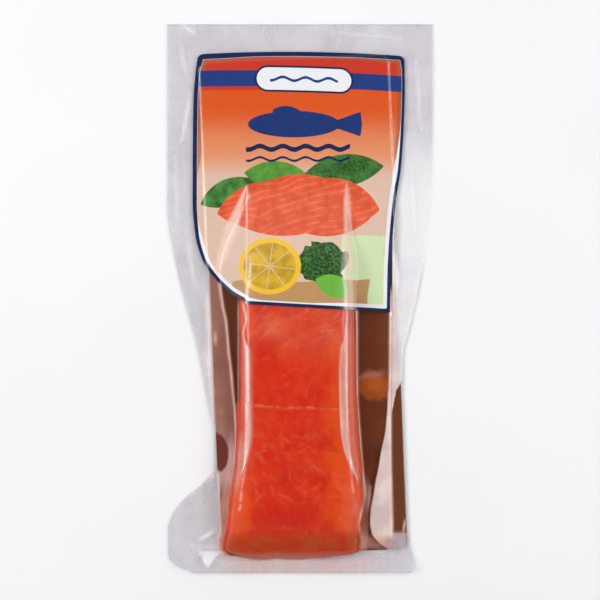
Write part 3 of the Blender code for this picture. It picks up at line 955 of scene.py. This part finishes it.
def in_triangle(x, y, corners):
    """How far a point lies inside a triangle: its least distance to the three sides, negative outside."""
    depth = np.inf
    for (x0, y0), (x1, y1) in zip(corners, corners[1:] + corners[:1]):
        across = ((x - x0) * (y1 - y0) - (y - y0) * (x1 - x0)) / math.hypot(x1 - x0, y1 - y0)
        depth = np.minimum(depth, across)
    return depth


def label_top(share):
    """y of the label's upper edge, from its left end (0) to its right end (1): a tilted line and a
    parabola."""
    tilted = LABEL_TOP_LEFT + (LABEL_TOP_RIGHT - LABEL_TOP_LEFT) * share
    return tilted + LABEL_TOP_RISE * 4 * share * (1 - share)


def label_outline():
    """The label's outline: up its right side, over the bowed top with round corners, and down its left
    side."""
    high_left, high_right = LABEL_TOP_LEFT - LABEL_CORNER, LABEL_TOP_RIGHT - LABEL_CORNER
    right_y = np.linspace(LABEL_RIGHT[0][0], high_right, 40)
    left_y = high_left + (LABEL_LEFT[0][0] - high_left) * np.linspace(0, 1, 60) ** 0.8
    turn = np.radians(np.linspace(5, 85, 8))
    right = np.column_stack([along(LABEL_RIGHT, right_y), right_y])
    left = np.column_stack([along(LABEL_LEFT, left_y), left_y])
    arc = LABEL_CORNER * np.column_stack([np.cos(turn), np.sin(turn)])
    corner_right = arc + (right[-1, 0] - LABEL_CORNER, high_right)
    corner_left = arc[::-1] * (-1, 1) + (left[0, 0] + LABEL_CORNER, high_left)
    share = np.linspace(0, 1, 24)[1:-1]
    span = corner_right[-1, 0] + (corner_left[0, 0] - corner_right[-1, 0]) * share
    top = np.column_stack([span, label_top(1 - share)])
    return np.vstack([right, corner_right, top, corner_left, left])


def label_grid():
    """x and y over the label: s from 0 to 1 runs from its left edge to its right edge at each height, and t
    from its lower edge to its upper edge. Near the top the rows shorten by a quarter circle at each end."""
    s = np.linspace(0, 1, LABEL_COLUMNS)[None, :]
    low, high = np.linspace(0, 0.965, LABEL_ROWS_LOW), np.linspace(0.968, 1, LABEL_ROWS_HIGH)
    t = np.concatenate([low, high])[:, None]
    low = LABEL_LEFT[0][0] + (LABEL_RIGHT[0][0] - LABEL_LEFT[0][0]) * s
    high = label_top(s)
    y = low + (high - low) * t
    inset = corner_inset(high - y, LABEL_CORNER)
    left, right = along(LABEL_LEFT, y) + inset, along(LABEL_RIGHT, y) - inset
    return left + (right - left) * s, y


def inside_ellipse(x, y, middle, radii, turn=0.0):
    """Signed distance to an ellipse, negative inside, good near its edge: (r - 1) times its mean radius."""
    x, y = x - middle[0], y - middle[1]
    c, s = math.cos(math.radians(turn)), math.sin(math.radians(turn))
    u, v = (x * c + y * s) / radii[0], (y * c - x * s) / radii[1]
    return (np.hypot(u, v) - 1) * min(radii)


def leaf(x, y, middle, length, width, turn):
    """Signed distance to a leaf: the overlap of two circles that cross at its two tips."""
    x, y = x - middle[0], y - middle[1]
    c, s = math.cos(math.radians(turn)), math.sin(math.radians(turn))
    u, v = x * c + y * s, np.abs(y * c - x * s)
    radius = (length**2 / width + width) / 4
    return np.hypot(u, v + radius - width / 2) - radius


def box_shape(x, y, low, high):
    """Signed distance to an upright box, negative inside."""
    return np.maximum(np.maximum(low[0] - x, x - high[0]), np.maximum(low[1] - y, y - high[1]))


def print_shapes(x, y, edge):
    """The label's printed shapes from the bottom layer to the top, as (name, signed distance). edge is the
    distance in from the label's outline."""
    bowed = 109.7 - 2.8 * (x + 52) / 104 + 1.2 * (1 - (x / 52) ** 2)
    wave = 0.9 * np.sin(x * 0.55)
    from_bar = y - wave
    leaves = {name: leaf(x, y, *place) for name, place in LEAVES.items()}
    bars = {
        name: np.maximum(np.abs(from_bar - middle) - half, np.abs(x - BARS_MIDDLE) - BARS_HALF)
        for name, (middle, half) in BARS.items()
    }
    from_axis = np.abs(y - FISH_MIDDLE[1])
    fish = np.minimum.reduce([
        inside_ellipse(x, y, FISH_MIDDLE, (23, 6.6)),
        np.maximum(from_axis - 0.35 * (x - 14) - 0.5, x - 31 + 0.12 * from_axis),
        leaf(x, y, (-6, 93), 16, 6, -8),
    ])
    lemon_flesh = inside_ellipse(x, y, LEMON_MIDDLE, (13, 11.6))
    across, up = x - LEMON_MIDDLE[0], y - LEMON_MIDDLE[1]
    from_spoke = np.abs(np.sin(LEMON_SEGMENTS / 2 * np.arctan2(up, across) + 0.5)) / (LEMON_SEGMENTS / 2)
    spokes = np.hypot(across, up) * from_spoke - 0.35
    plaque = np.hypot(np.maximum(np.abs(x - PLAQUE_MIDDLE) - PLAQUE_HALF, 0), y - bowed) - PLAQUE_RADIUS
    in_plaque = np.abs(x - PLAQUE_MIDDLE) - PLAQUE_HALF + 1
    # Painted shade inside the label's border: its width in from the edge
    shade_width = border_width(x, y) + 2.2 * smooth_step(58, 74, y) - 1.1 * smooth_step(116, 120, y)
    return (
        ("backing", -edge),
        ("red_field", -(y - 104)),
        ("painted_shade_line", edge - shade_width),
        ("leaf_left", leaves["leaf_left"]),
        ("leaf_middle", leaves["leaf_middle"]),
        ("leaf_right", leaves["leaf_right"]),
        ("pale_green", box_shape(x, y, (22, -9), (43, 30)) + 2 * bumps(x, y, 8, 33)),
        ("table", box_shape(x, y, (-34, -9), (34, 9)) + 1.0 * bumps(x, y, 9, 34)),
        ("slices", np.minimum.reduce([leaf(x, y, *place) for place in SLICES])),
        ("herbs", inside_ellipse(x, y, HERBS_MIDDLE, (12.5, 10.5)) + 1.6 * bumps(x, y, 2.6, 31)),
        ("green_low", leaves["green_low"]),
        ("lemon", inside_ellipse(x, y, LEMON_MIDDLE, (15.5, 14))),
        ("lemon_flesh", lemon_flesh),
        ("lemon_spokes", np.maximum(lemon_flesh, spokes)),
        ("band", np.abs(y - bowed) - BAND_HALF),
        ("plate_edge", plaque),
        ("plate", plaque + PLAQUE_EDGE),
        ("plate_wave", np.maximum(np.abs(y - bowed - wave) - 0.7, in_plaque)),
        ("fish", fish),
        ("bar", bars["bar"]),
        ("thin_bar", bars["thin_bar"]),
        ("white_line", edge - border_width(x, y) - white_width(x, y)),
        ("border", edge - border_width(x, y)),
    )


def label_finish(colours):
    """Glossy print: layers of flat colour laid over each other, each cut at its own signed distance, with
    painted highlights along its creases on top.
    """
    finish, w, shader = new_finish("printed_label")
    places = w.places()
    mottle = w.patches(places, 0.18, 0.3, 0.7)
    speck = w.patches(places, 0.8, 0.4, 0.62)
    height = w.attribute("height")
    streak = w.times(w.group(lines_group(), Phase=w.attribute("grain"), Width=0.2), mottle)
    field = w.blend(w.between(height, 72, 96), rgba(colours.print_peach), rgba(colours.print_orange))
    field = w.blend(w.between(height, 58, 74), rgba(colours.print_cream), field)
    slices = w.blend(mottle, rgba(colours.print_coral, 0.85), rgba(colours.print_coral, 1.1))
    slices = w.blend(w.times(streak, 0.7), slices, rgba(colours.print_peach))
    green = w.blend(mottle, rgba(colours.print_green, 0.5), rgba(colours.print_green, 1.4))
    dark_green = w.blend(speck, rgba(colours.print_green, 0.22), rgba(colours.print_green, 0.9))
    lemon = w.blend(mottle, rgba(colours.print_yellow, 0.7), rgba(colours.print_yellow, 1.1))
    inks = {
        "backing": field,
        "red_field": rgba(colours.print_red),
        # Painted shade inside the label's border
        "painted_shade_line": w.blend(0.45, field, rgba(colours.print_painted_shade)),
        "leaf_left": green,
        "leaf_middle": w.blend(0.4, green, rgba(colours.print_lime)),
        "leaf_right": w.blend(0.5, green, dark_green),
        "pale_green": rgba(colours.print_pale_green),
        "table": rgba(colours.print_tan),
        "slices": slices,
        "herbs": dark_green,
        "green_low": rgba(colours.print_lime),
        "lemon": rgba(colours.print_yellow, 1.3),
        "lemon_flesh": lemon,
        "lemon_spokes": w.blend(0.5, lemon, rgba(colours.print_cream, 1.15)),
        "band": rgba(colours.print_blue),
        "plate_edge": rgba(colours.print_navy),
        "plate": rgba(colours.print_white),
        "plate_wave": rgba(colours.print_blue),
        "fish": rgba(colours.print_blue, 0.8),
        "bar": rgba(colours.print_navy),
        "thin_bar": rgba(colours.print_navy),
        "white_line": rgba(colours.print_white),
        "border": rgba(colours.print_navy),
    }
    layers = [
        (w.between(w.attribute("ink_" + name), -INK_SOFTNESS, INK_SOFTNESS, 1.0, 0.0), ink)
        for name, ink in inks.items()
    ]
    # Painted highlights along the label's creases, laid over the print
    layers.append((w.attribute("crease"), rgba(colours.film_white_and_highlight)))
    w.settle(shader, {
        "Base Color": w.coats(rgba(colours.print_cream), layers),
        "Roughness": w.plus(0.26, w.times(mottle, 0.08)),
        "Normal": w.relief(w.noise(places, 3.0, 2.0), 0.08, 0.0001),
        "Coat Weight": 0.35,
        "Coat Roughness": 0.15,
    })
    return finish


def colour_property(name, description, default):
    return bpy.props.FloatVectorProperty(
        name=name, description=description, subtype="COLOR", size=3, min=0, max=1, default=default
    )


def length_property(name, description, default):
    settings = dict(subtype="DISTANCE", unit="LENGTH", min=0, precision=5)
    return bpy.props.FloatProperty(name=name, description=description, default=default, **settings)


class PackSizes(bpy.types.PropertyGroup):
    """Sizes of the pack's pieces that aren't set by its solids."""

    card_thickness: length_property("Card thickness", "Thickness of the brown card", 0.0012)
    card_base: length_property("Card base", "Height of the card's underside", 0.0003)
    film_gap: length_property("Film gap", "Gap between the tight film and the fish", 0.0003)
    back_film: length_property("Back film", "Height of the bag's lower film under the card", 0.00008)
    margin_gap: length_property("Margin gap", "Gap between the two films beside the card", 0.0004)
    label_gap: length_property("Label gap", "Gap between the film and the label", 0.00025)
    label_thickness: length_property("Label thickness", "Thickness of the label", 0.00025)


class PackColours(bpy.types.PropertyGroup):
    """Colours of the pack's finishes."""

    film_pale: colour_property("Film", "Milky film over the margins", (0.52, 0.47, 0.53))
    film_warm: colour_property("Film inside", "Milky film over the card and the fish", (0.84, 0.41, 0.32))
    # Also the colour of the painted highlights over the card, the fish and the label
    film_white_and_highlight: colour_property("Crease", "Whitened film over the card and the fish", (0.96, 0.66, 0.56))
    # Also the colour of the painted glints over the margins
    film_bright_and_glint: colour_property("Glint", "Whitened film over the margins", (0.97, 0.95, 0.97))
    card: colour_property("Card", "Brown card", (0.140, 0.034, 0.010))
    oil: colour_property("Oil", "Oil mark on the card", (0.40, 0.085, 0.010))
    # Painted red reflection of the fish on the card beside it
    fish_reflection: colour_property("Juice", "Dark card beside the fish", (0.15, 0.022, 0.006))
    olive: colour_property("Stained card", "Olive card at the label's edge", (0.13, 0.042, 0.012))
    flesh: colour_property("Flesh", "Salmon", (0.69, 0.023, 0.0025))
    flesh_deep: colour_property("Deep flesh", "Redder patches of the salmon", (0.60, 0.013, 0.003))
    flesh_orange: colour_property("Flank", "Orange flanks of the salmon", (0.74, 0.062, 0.002))
    # Also the colour of the painted sheen on the flesh
    fat_and_sheen: colour_property("Fat", "Pale lines in the salmon", (0.82, 0.18, 0.075))
    # Darker, browner colour towards the salmon's lower end
    darker_end: colour_property("Cured edge", "Browner lower end of the salmon", (0.55, 0.048, 0.003))
    print_red: colour_property("Print red", "Red field", (0.60, 0.040, 0.018))
    print_orange: colour_property("Print orange", "Orange field", (0.72, 0.095, 0.013))
    print_peach: colour_property("Print peach", "Peach of the fade", (0.78, 0.28, 0.13))
    print_cream: colour_property("Print cream", "Cream of the fade", (0.74, 0.52, 0.40))
    print_coral: colour_property("Print coral", "Coral slices", (0.78, 0.10, 0.035))
    print_green: colour_property("Print green", "Green leaves", (0.062, 0.20, 0.04))
    print_lime: colour_property("Print lime", "Light green leaf", (0.16, 0.46, 0.05))
    print_pale_green: colour_property("Print pale green", "Pale green ground", (0.64, 0.78, 0.44))
    print_yellow: colour_property("Print yellow", "Lemon", (0.68, 0.41, 0.028))
    print_tan: colour_property("Print tan", "Tan ground", (0.52, 0.29, 0.12))
    # Painted shade inside the label's border
    print_painted_shade: colour_property("Dusk line", "Brown shade inside the label's border", (0.13, 0.085, 0.07))
    print_blue: colour_property("Print blue", "Blue band and shapes", (0.016, 0.045, 0.21))
    print_navy: colour_property("Print navy", "Border and small shapes", (0.010, 0.020, 0.080))
    print_white: colour_property("Print white", "White line and plate", (0.85, 0.86, 0.88))


class PACK_OT_bag(bpy.types.Operator):
    """Makes the clear bag: an upper film over everything and a flat lower film, joined round the edge"""

    bl_idname = "pack.bag"
    bl_label = "Bag Film"

    def execute(self, context):
        sizes, colours = context.scene.pack_sizes, context.scene.pack_colours
        x, y = bag_grid()
        upper = np.dstack([x, y, film_top(x, y)])
        depth = depth_in_card(x, y)
        apart = smooth_step(*PARTING, depth)
        under_margin = np.maximum(upper[..., 2] - sizes.margin_gap / MM, sizes.back_film / MM)
        flat = sizes.back_film / MM
        lower = np.dstack([x, y, flat + (under_margin - flat) * (1 - apart)])
        points, faces = closed_sheet(upper, lower)
        below = len(points) - x.size
        steep = np.abs(np.gradient(upper[..., 2], axis=1) / np.gradient(x, axis=1))
        haze_and_highlight, warmth, whiteness = film_paint(x, y, smooth_step(*UPRIGHT_SLOPES, steep))
        attributes = {
            "haze_and_highlight": np.append(haze_and_highlight, np.full(below, BACK_FILM_HAZE)),
            "warmth": np.append(warmth, np.zeros(below)),
            "whiteness": np.append(whiteness, np.zeros(below)),
        }
        bag = piece("bag_film", points, faces, film_finish(colours), attributes)
        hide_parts("pack")
        return {"FINISHED"}


class PACK_OT_card(bpy.types.Operator):
    """Makes the brown card that the fish lies on, with rounded corners"""

    bl_idname = "pack.card"
    bl_label = "Card"

    def execute(self, context):
        sizes, colours = context.scene.pack_sizes, context.scene.pack_colours
        s = np.linspace(-1, 1, CARD_GRID[0])[None, :]
        t = np.linspace(-1, 1, CARD_GRID[1])[:, None]
        half_width, half_length = CARD_WIDTH / 2 - CARD_TRIM, CARD_LENGTH / 2 - CARD_TRIM
        across = half_width * s + CARD_WIDER_RIGHT * np.clip(s, 0, 1)
        lengthwise = half_length * t
        inset = corner_inset(half_length - np.abs(lengthwise), CARD_CORNER)
        across = across * (1 - inset / (CARD_WIDTH / 2))
        lengthwise = lengthwise + 0 * across
        x = CARD_MIDDLE[0] + across * math.cos(CARD_TURN) - lengthwise * math.sin(CARD_TURN)
        y = CARD_MIDDLE[1] + across * math.sin(CARD_TURN) + lengthwise * math.cos(CARD_TURN)
        base, top = sizes.card_base / MM, (sizes.card_base + sizes.card_thickness) / MM
        rows, columns = x.shape
        high = np.dstack([x, y, np.full(x.shape, top)])
        low = np.dstack([x, y, np.full(x.shape, base)])
        index = np.arange(x.size).reshape(rows, columns)
        rim = rim_of(index)
        under = index + x.size
        rim_under = rim + x.size
        walls = np.stack([rim_under, np.roll(rim_under, -1), np.roll(rim, -1), rim], axis=1)
        faces = np.vstack([quads(index), quads(under)[:, ::-1], walls])
        points = np.vstack([high.reshape(-1, 3), low.reshape(-1, 3)])
        px, py = points[:, 0], points[:, 1]
        across_oil = px - OIL_MIDDLE[0]
        along_oil = py - OIL_MIDDLE[1] + OIL_TILT * across_oil
        oil_away = np.hypot(across_oil / OIL_RADII[0], along_oil / OIL_RADII[1])
        # Painted red reflection of the fish, strongest beside its right foot
        reflection_right = np.exp(-np.maximum(px - along(FOOT_RIGHT, py), 0) / 2.2) * band(py, -100, -60, 14)
        reflection_left = np.exp(-np.maximum(along(RIDGE_LEFT, py) - px, 0) / 4.0) * band(py, -72, -26, 12)
        stained_left = band(px, -40, -30, 4) * band(py, -24, 4, 10)
        stained_right = 0.8 * band(px, 41, 46, 3) * band(py, -18, 0, 8)
        right_strip = 0.7 * band(px, 46, 53, 2) * band(py, -114, -58, 12)
        attributes = {
            "oil": np.clip(1.25 - oil_away, 0, 1),
            "fish_reflection": np.maximum(reflection_right, 0.25 * reflection_left),
            "olive": np.maximum(stained_left + stained_right, right_strip),
        }
        piece("card", points, faces, card_finish(colours), attributes)
        return {"FINISHED"}


class PACK_OT_salmon(bpy.types.Operator):
    """Makes the piece of smoked salmon: a low loaf with square shoulders and a fine flake relief"""

    bl_idname = "pack.salmon"
    bl_label = "Salmon"

    def execute(self, context):
        sizes, colours = context.scene.pack_sizes, context.scene.pack_colours
        base = (sizes.card_base + sizes.card_thickness) / MM + 0.02
        gap = sizes.film_gap / MM
        y = np.linspace(SALMON_START, SALMON_STOP, SALMON_ROWS)[:, None]
        ragged = SALMON_RAGGED * (1 + bumps(np.full_like(y, 3.0), y, 3.2, 61))
        left, right = along(RIDGE_LEFT, y) + gap + ragged, along(RIDGE_RIGHT, y) - gap - ragged[::-1]
        half_left = loaf_section(SQUARENESS_LEFT, SALMON_HALF_COLUMNS)
        half_right = loaf_section(SQUARENESS_RIGHT, SALMON_HALF_COLUMNS)
        a = np.append(-half_left[0], half_right[0][::-1][1:])[None, :]
        b = np.append(half_left[1], half_right[1][::-1][1:])[None, :]
        x = (left + right) / 2 + (right - left) / 2 * a
        flare_left = -flared_foot(left - along(FOOT_LEFT, y))
        flare_right = flared_foot(along(FOOT_RIGHT, y) - right)
        x = x + np.where(a < 0, flare_left, flare_right) * (1 - b) ** 6
        near_end = 1 - smooth_step(0, SALMON_END_EVEN, y - SALMON_START)
        y = y + SALMON_RAGGED_END * (1 + bumps(x, y, 6, 63)) * near_end
        crown = np.maximum(along(RIDGE_TOP, y) - CARD_TOP - gap, 0.05)
        ends = np.minimum(y - SALMON_START, SALMON_STOP - y)
        z = base + (CARD_TOP - base + crown) * b * np.sqrt(smooth_step(0, SALMON_END_ROUND, ends))
        pale, dark = flesh_strokes(x, y)
        z = z + on_fish(x, y) * (flesh_swell(x, y) + STROKE_RELIEF * (pale - dark))
        upper = np.dstack([x, y, np.maximum(z, base)])
        rows, columns = x.shape
        index = np.arange(x.size).reshape(rows, columns)
        points = upper.reshape(-1, 3)
        rim = rim_of(index)
        points[rim, 2] = base
        attributes = {
            "pale_strokes": pale,
            "dark_strokes": dark,
            "flank": orange_flank(x, y),
            "deep": 0.9 * band(y, -118, -99, 12) * band(x, -22, 18, 18) + 0.5 * band(y, -60, -44, 12),
            "painted_sheen": painted_sheen_patches(x, y),
            "seam": bell(y, seam_line(x), 0.6) * smooth_step(-29, -24, x),
            # Darker and browner towards the lower end
            "darker_end": 0.85 * (1 - smooth_step(-119.5, -115.5, y + 1.2 * bumps(x, y, 7, 45))),
        }
        piece("salmon_piece", points, quads(index), salmon_finish(colours), attributes, rim[::-1])
        return {"FINISHED"}


def flared_foot(room):
    """How far the fish spreads at its foot: just under the film's edge where that is close, not where it
    stands off."""
    return np.clip(room + 0.35, 0, 2.4) * (1 - smooth_step(2.2, 3.6, room))


def flesh_strokes(x, y):
    """Short soft strokes of paler and darker flesh, as (pale, dark). Each is a bell across a short segment
    at a seeded place. They lie along the flakes' zigzag, or along a fixed slant where their zone has one."""
    seeded = np.random.default_rng(17)
    bent_x, bent_y = x + STROKE_BEND * bumps(x, y, 5, 41), y + STROKE_BEND * bumps(x, y, 5, 42)
    marks = np.zeros((2, *x.shape))
    for count, across, lengthwise, slant, lengths, strength in STROKE_ZONES:
        for _ in range(count):
            middle = np.array([seeded.uniform(*across), seeded.uniform(*lengthwise)])
            climb = math.tan(math.radians(slant)) if slant else flake_climb(middle[0])
            turn = math.atan(climb) + seeded.normal(0, STROKE_JITTER)
            reach = seeded.uniform(*lengths) / 2 * np.array([math.cos(turn), math.sin(turn)])
            away, share = to_segment(bent_x, bent_y, middle - reach, middle + reach)
            half = seeded.uniform(*STROKE_HALF_WIDTHS)
            mark = strength * seeded.uniform(0.4, 1.0) * bell(away, 0, half) * np.sin(np.pi * share)
            kind = int(seeded.random() < STROKE_DARK_SHARE)
            marks[kind] = np.maximum(marks[kind], mark)
    return marks


def flake_climb(x):
    """Slope of the flakes' zigzag at x: a sine wave, steepest between its bends."""
    return FLAKE_STEEPNESS * math.sin(2 * math.pi * (x + 2) / FLAKE_WAVE)


def orange_flank(x, y):
    """Where the flesh is more orange: down its right flank, at its upper left corner, low on both sides."""
    right = smooth_step(4, 20, x) * band(y, -116, -16, 16)
    corner = 0.9 * smooth_step(-18, -26, x) * band(y, -20, 0, 10)
    low_left = smooth_step(-18, -30, x) * band(y, -118, -84, 12)
    low_right = smooth_step(12, 24, x) * band(y, -110, -76, 12)
    return np.clip(0.85 * right + corner + low_left + 0.4 * low_right, 0, 1)


def painted_sheen_patches(x, y):
    """Painted pink sheen on the flesh: one patch under the label's edge, and soft ones low on the right."""
    top = bell(x, -14, 5) * bell(y, -13.5, 5)
    wide = 0.35 * band(y, -30, 0, 14) * band(x, -12, 22, 12)
    low = 0.45 * band(x, 21, 27, 5) * band(y, -118, -92, 8)
    return np.clip(top + wide + low, 0, 1) * (0.7 + 0.3 * bumps(x, y, 3.5, 62))


def loaf_section(squareness, count):
    """Half a superellipse |a|^n + |b|^n = 1 from its side (1, 0) to its crown (0, 1), at even steps of
    length."""
    turn = np.linspace(0, math.pi / 2, 2000)
    a, b = np.cos(turn) ** (2 / squareness), np.sin(turn) ** (2 / squareness)
    run = np.append(0, np.cumsum(np.hypot(2 * np.diff(a), np.diff(b))))
    at = np.linspace(0, run[-1], count)
    return np.interp(at, run, a), np.interp(at, run, b)


class PACK_OT_label(bpy.types.Operator):
    """Makes the printed label, which follows the film under it"""

    bl_idname = "pack.label"
    bl_label = "Label"

    def execute(self, context):
        sizes, colours = context.scene.pack_sizes, context.scene.pack_colours
        x, y = label_grid()
        film = film_top(x, y)
        gap, thick = sizes.label_gap / MM, sizes.label_thickness / MM
        upper = np.dstack([x, y, film + gap + thick])
        lower = np.dstack([x, y, film + gap])
        points, faces = closed_sheet(upper, lower)
        px, py = points[:, 0], points[:, 1]
        outline = label_outline()
        edge = np.full(len(points), np.inf)
        for start, end in zip(outline, np.roll(outline, -1, axis=0)):
            edge = np.minimum(edge, to_segment(px, py, start, end)[0])
        attributes = {"ink_" + name: away for name, away in print_shapes(px, py, edge)}
        attributes["height"] = py
        attributes["grain"] = (py - 0.25 * px + 2.0 * bumps(px, py, 10, 51)) / 3.2
        attributes["crease"] = label_crease_highlights(px, py)
        label = piece("label_print", points, faces, label_finish(colours), attributes)
        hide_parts("label")
        return {"FINISHED"}


def border_width(x, y):
    """Width of the label's dark border: widest at the top and on the left, narrowest on the right."""
    wider_top = 0.6 * smooth_step(114, 118, y)
    wider_left = 0.5 * smooth_step(20, 40, -x) * smooth_step(20, 50, y)
    return 1.6 + wider_top + wider_left - 0.2 * (x > 48)


def white_width(x, y):
    """Width of the white line inside the border: hardly there at the top, wide along the swept corner and at
    the lower right."""
    sweep = 1.6 * band(y, -4, 34, 14) * smooth_step(14, 26, -x)
    lower_right = 1.7 * (x > 0) * (1 - smooth_step(60, 90, y)) * smooth_step(-10, 30, x)
    return np.maximum(0.12 + sweep + lower_right, 0.7 * (1 - smooth_step(0, 5, y)))


def label_crease_highlights(x, y):
    """Painted highlights where the label is creased over the fish: an upright line at the left shoulder, and
    the two broad creases, exp(-(d/half)^4) across a segment. The right one has a line of its own on top."""
    upright = 0.75 * bell(x, -26.5, 0.45) * band(y, -4, 56, 3)
    broad = []
    for start, end, strength, halves in LABEL_CREASE_HIGHLIGHTS:
        away, share = to_segment(x, y, start, end)
        broad.append(strength * np.exp(-((away / np.interp(share, *zip(*halves))) ** 4)))
    slant, right = broad
    line = 0.30 * bell(x, 22.6 + 0.3 * right, 0.5) * band(y, -4, 50, 4)
    right = right + line * (1 - right)
    return np.clip(np.maximum.reduce([upright, slant, right]), 0, 1)


class PACK_OT_stage(bpy.types.Operator):
    """Makes the floor, the lights and the camera, which looks straight down on the pack"""

    bl_idname = "pack.stage"
    bl_label = "Stage"

    def execute(self, context):
        scene = context.scene
        scene.view_settings.view_transform = "Standard"
        mesh = bpy.data.meshes.new("floor")
        corners = [(i * FLOOR_REACH, j * FLOOR_REACH, 0) for i, j in ((-1, -1), (1, -1), (1, 1), (-1, 1))]
        mesh.from_pydata(corners, [], [(0, 1, 2, 3)])
        floor = placed("floor", mesh)
        finish, w, shader = new_finish("pale_floor")
        shade = w.patches(w.places(), 0.01, 0.3, 0.7)
        w.feed(shader.inputs["Base Color"], w.blend(shade, (0.90, 0.90, 0.905, 1), (0.92, 0.92, 0.925, 1)))
        away = w.add("ShaderNodeVectorMath", {0: w.places()}, operation="LENGTH").outputs["Value"]
        far = w.between(away, *FAR_FROM_TO)
        w.feed(shader.inputs["Emission Color"], w.blend(far, (0, 0, 0, 1), (FAR_GLOW, FAR_GLOW, FAR_GLOW, 1)))
        w.settle(shader, {"Emission Strength": 1.0, "Roughness": 0.7, "Specular IOR Level": 0.2})
        mesh.materials.append(finish)

        world = bpy.data.worlds.new("studio")
        world.use_nodes = True
        scene.world = world
        room = Wiring(world.node_tree)
        background = world.node_tree.nodes["Background"]
        background.inputs["Color"].default_value = (0.97, 0.98, 1.0, 1)
        outward = room.add("ShaderNodeTexCoord").outputs["Generated"]
        outward = room.add("ShaderNodeSeparateXYZ", {"Vector": outward}).outputs
        glow = room.between(outward["Z"], 0.70, 0.95, ROOM_GLOW, CEILING_GLOW)
        flagged = room.between(outward["Y"], -0.95, -0.55, FRONT_GLOW, 1.0)
        room.feed(background.inputs["Strength"], room.times(glow, flagged))
        for name, angle, wide, long, glow in LAMPS:
            lamp = bpy.data.lights.new(name, "AREA")
            lamp.shape = "RECTANGLE"
            lamp.size, lamp.size_y = wide, long
            lamp.energy = glow * math.pi * wide * long
            light = placed(name, lamp)
            turn = math.radians(angle)
            light.location = (LAMP_AWAY * math.sin(turn), LAMP_FORWARD, LAMP_AWAY * math.cos(turn))
            light.rotation_euler = (0, turn, 0)
            light.visible_camera = False
            light.visible_glossy = name.startswith("strip")

        lens = bpy.data.cameras.new("camera")
        lens.sensor_width = CAMERA_SENSOR
        lens.lens = CAMERA_LENS
        lens.clip_start = CAMERA_NEAREST
        camera = placed("camera", lens)
        camera.location = CAMERA_PLACE
        scene.camera = camera
        return {"FINISHED"}


class PACK_PT_panel(bpy.types.Panel):
    """Lists the pack's pieces, sizes and colours"""

    bl_label = "Vacuum Pack"
    bl_idname = "PACK_PT_panel"
    bl_space_type = "VIEW_3D"
    bl_region_type = "UI"
    bl_category = "Pack"

    def draw(self, context):
        for operator in OPERATORS:
            self.layout.operator(operator.bl_idname)
        for group in (context.scene.pack_sizes, context.scene.pack_colours):
            column = self.layout.column()
            for name in group.__annotations__:
                column.prop(group, name)


OPERATORS = (PACK_OT_stage, PACK_OT_bag, PACK_OT_card, PACK_OT_salmon, PACK_OT_label)
CLASSES = (PackSizes, PackColours, *OPERATORS, PACK_PT_panel)


def register():
    for kind in CLASSES:
        bpy.utils.register_class(kind)
    bpy.types.Scene.pack_sizes = bpy.props.PointerProperty(type=PackSizes)
    bpy.types.Scene.pack_colours = bpy.props.PointerProperty(type=PackColours)


def unregister():
    del bpy.types.Scene.pack_colours
    del bpy.types.Scene.pack_sizes
    for kind in reversed(CLASSES):
        bpy.utils.unregister_class(kind)


def main():
    register()
    for operator in OPERATORS:
        group, name = operator.bl_idname.split(".")
        getattr(getattr(bpy.ops, group), name)()


if __name__ == "__main__":
    main()
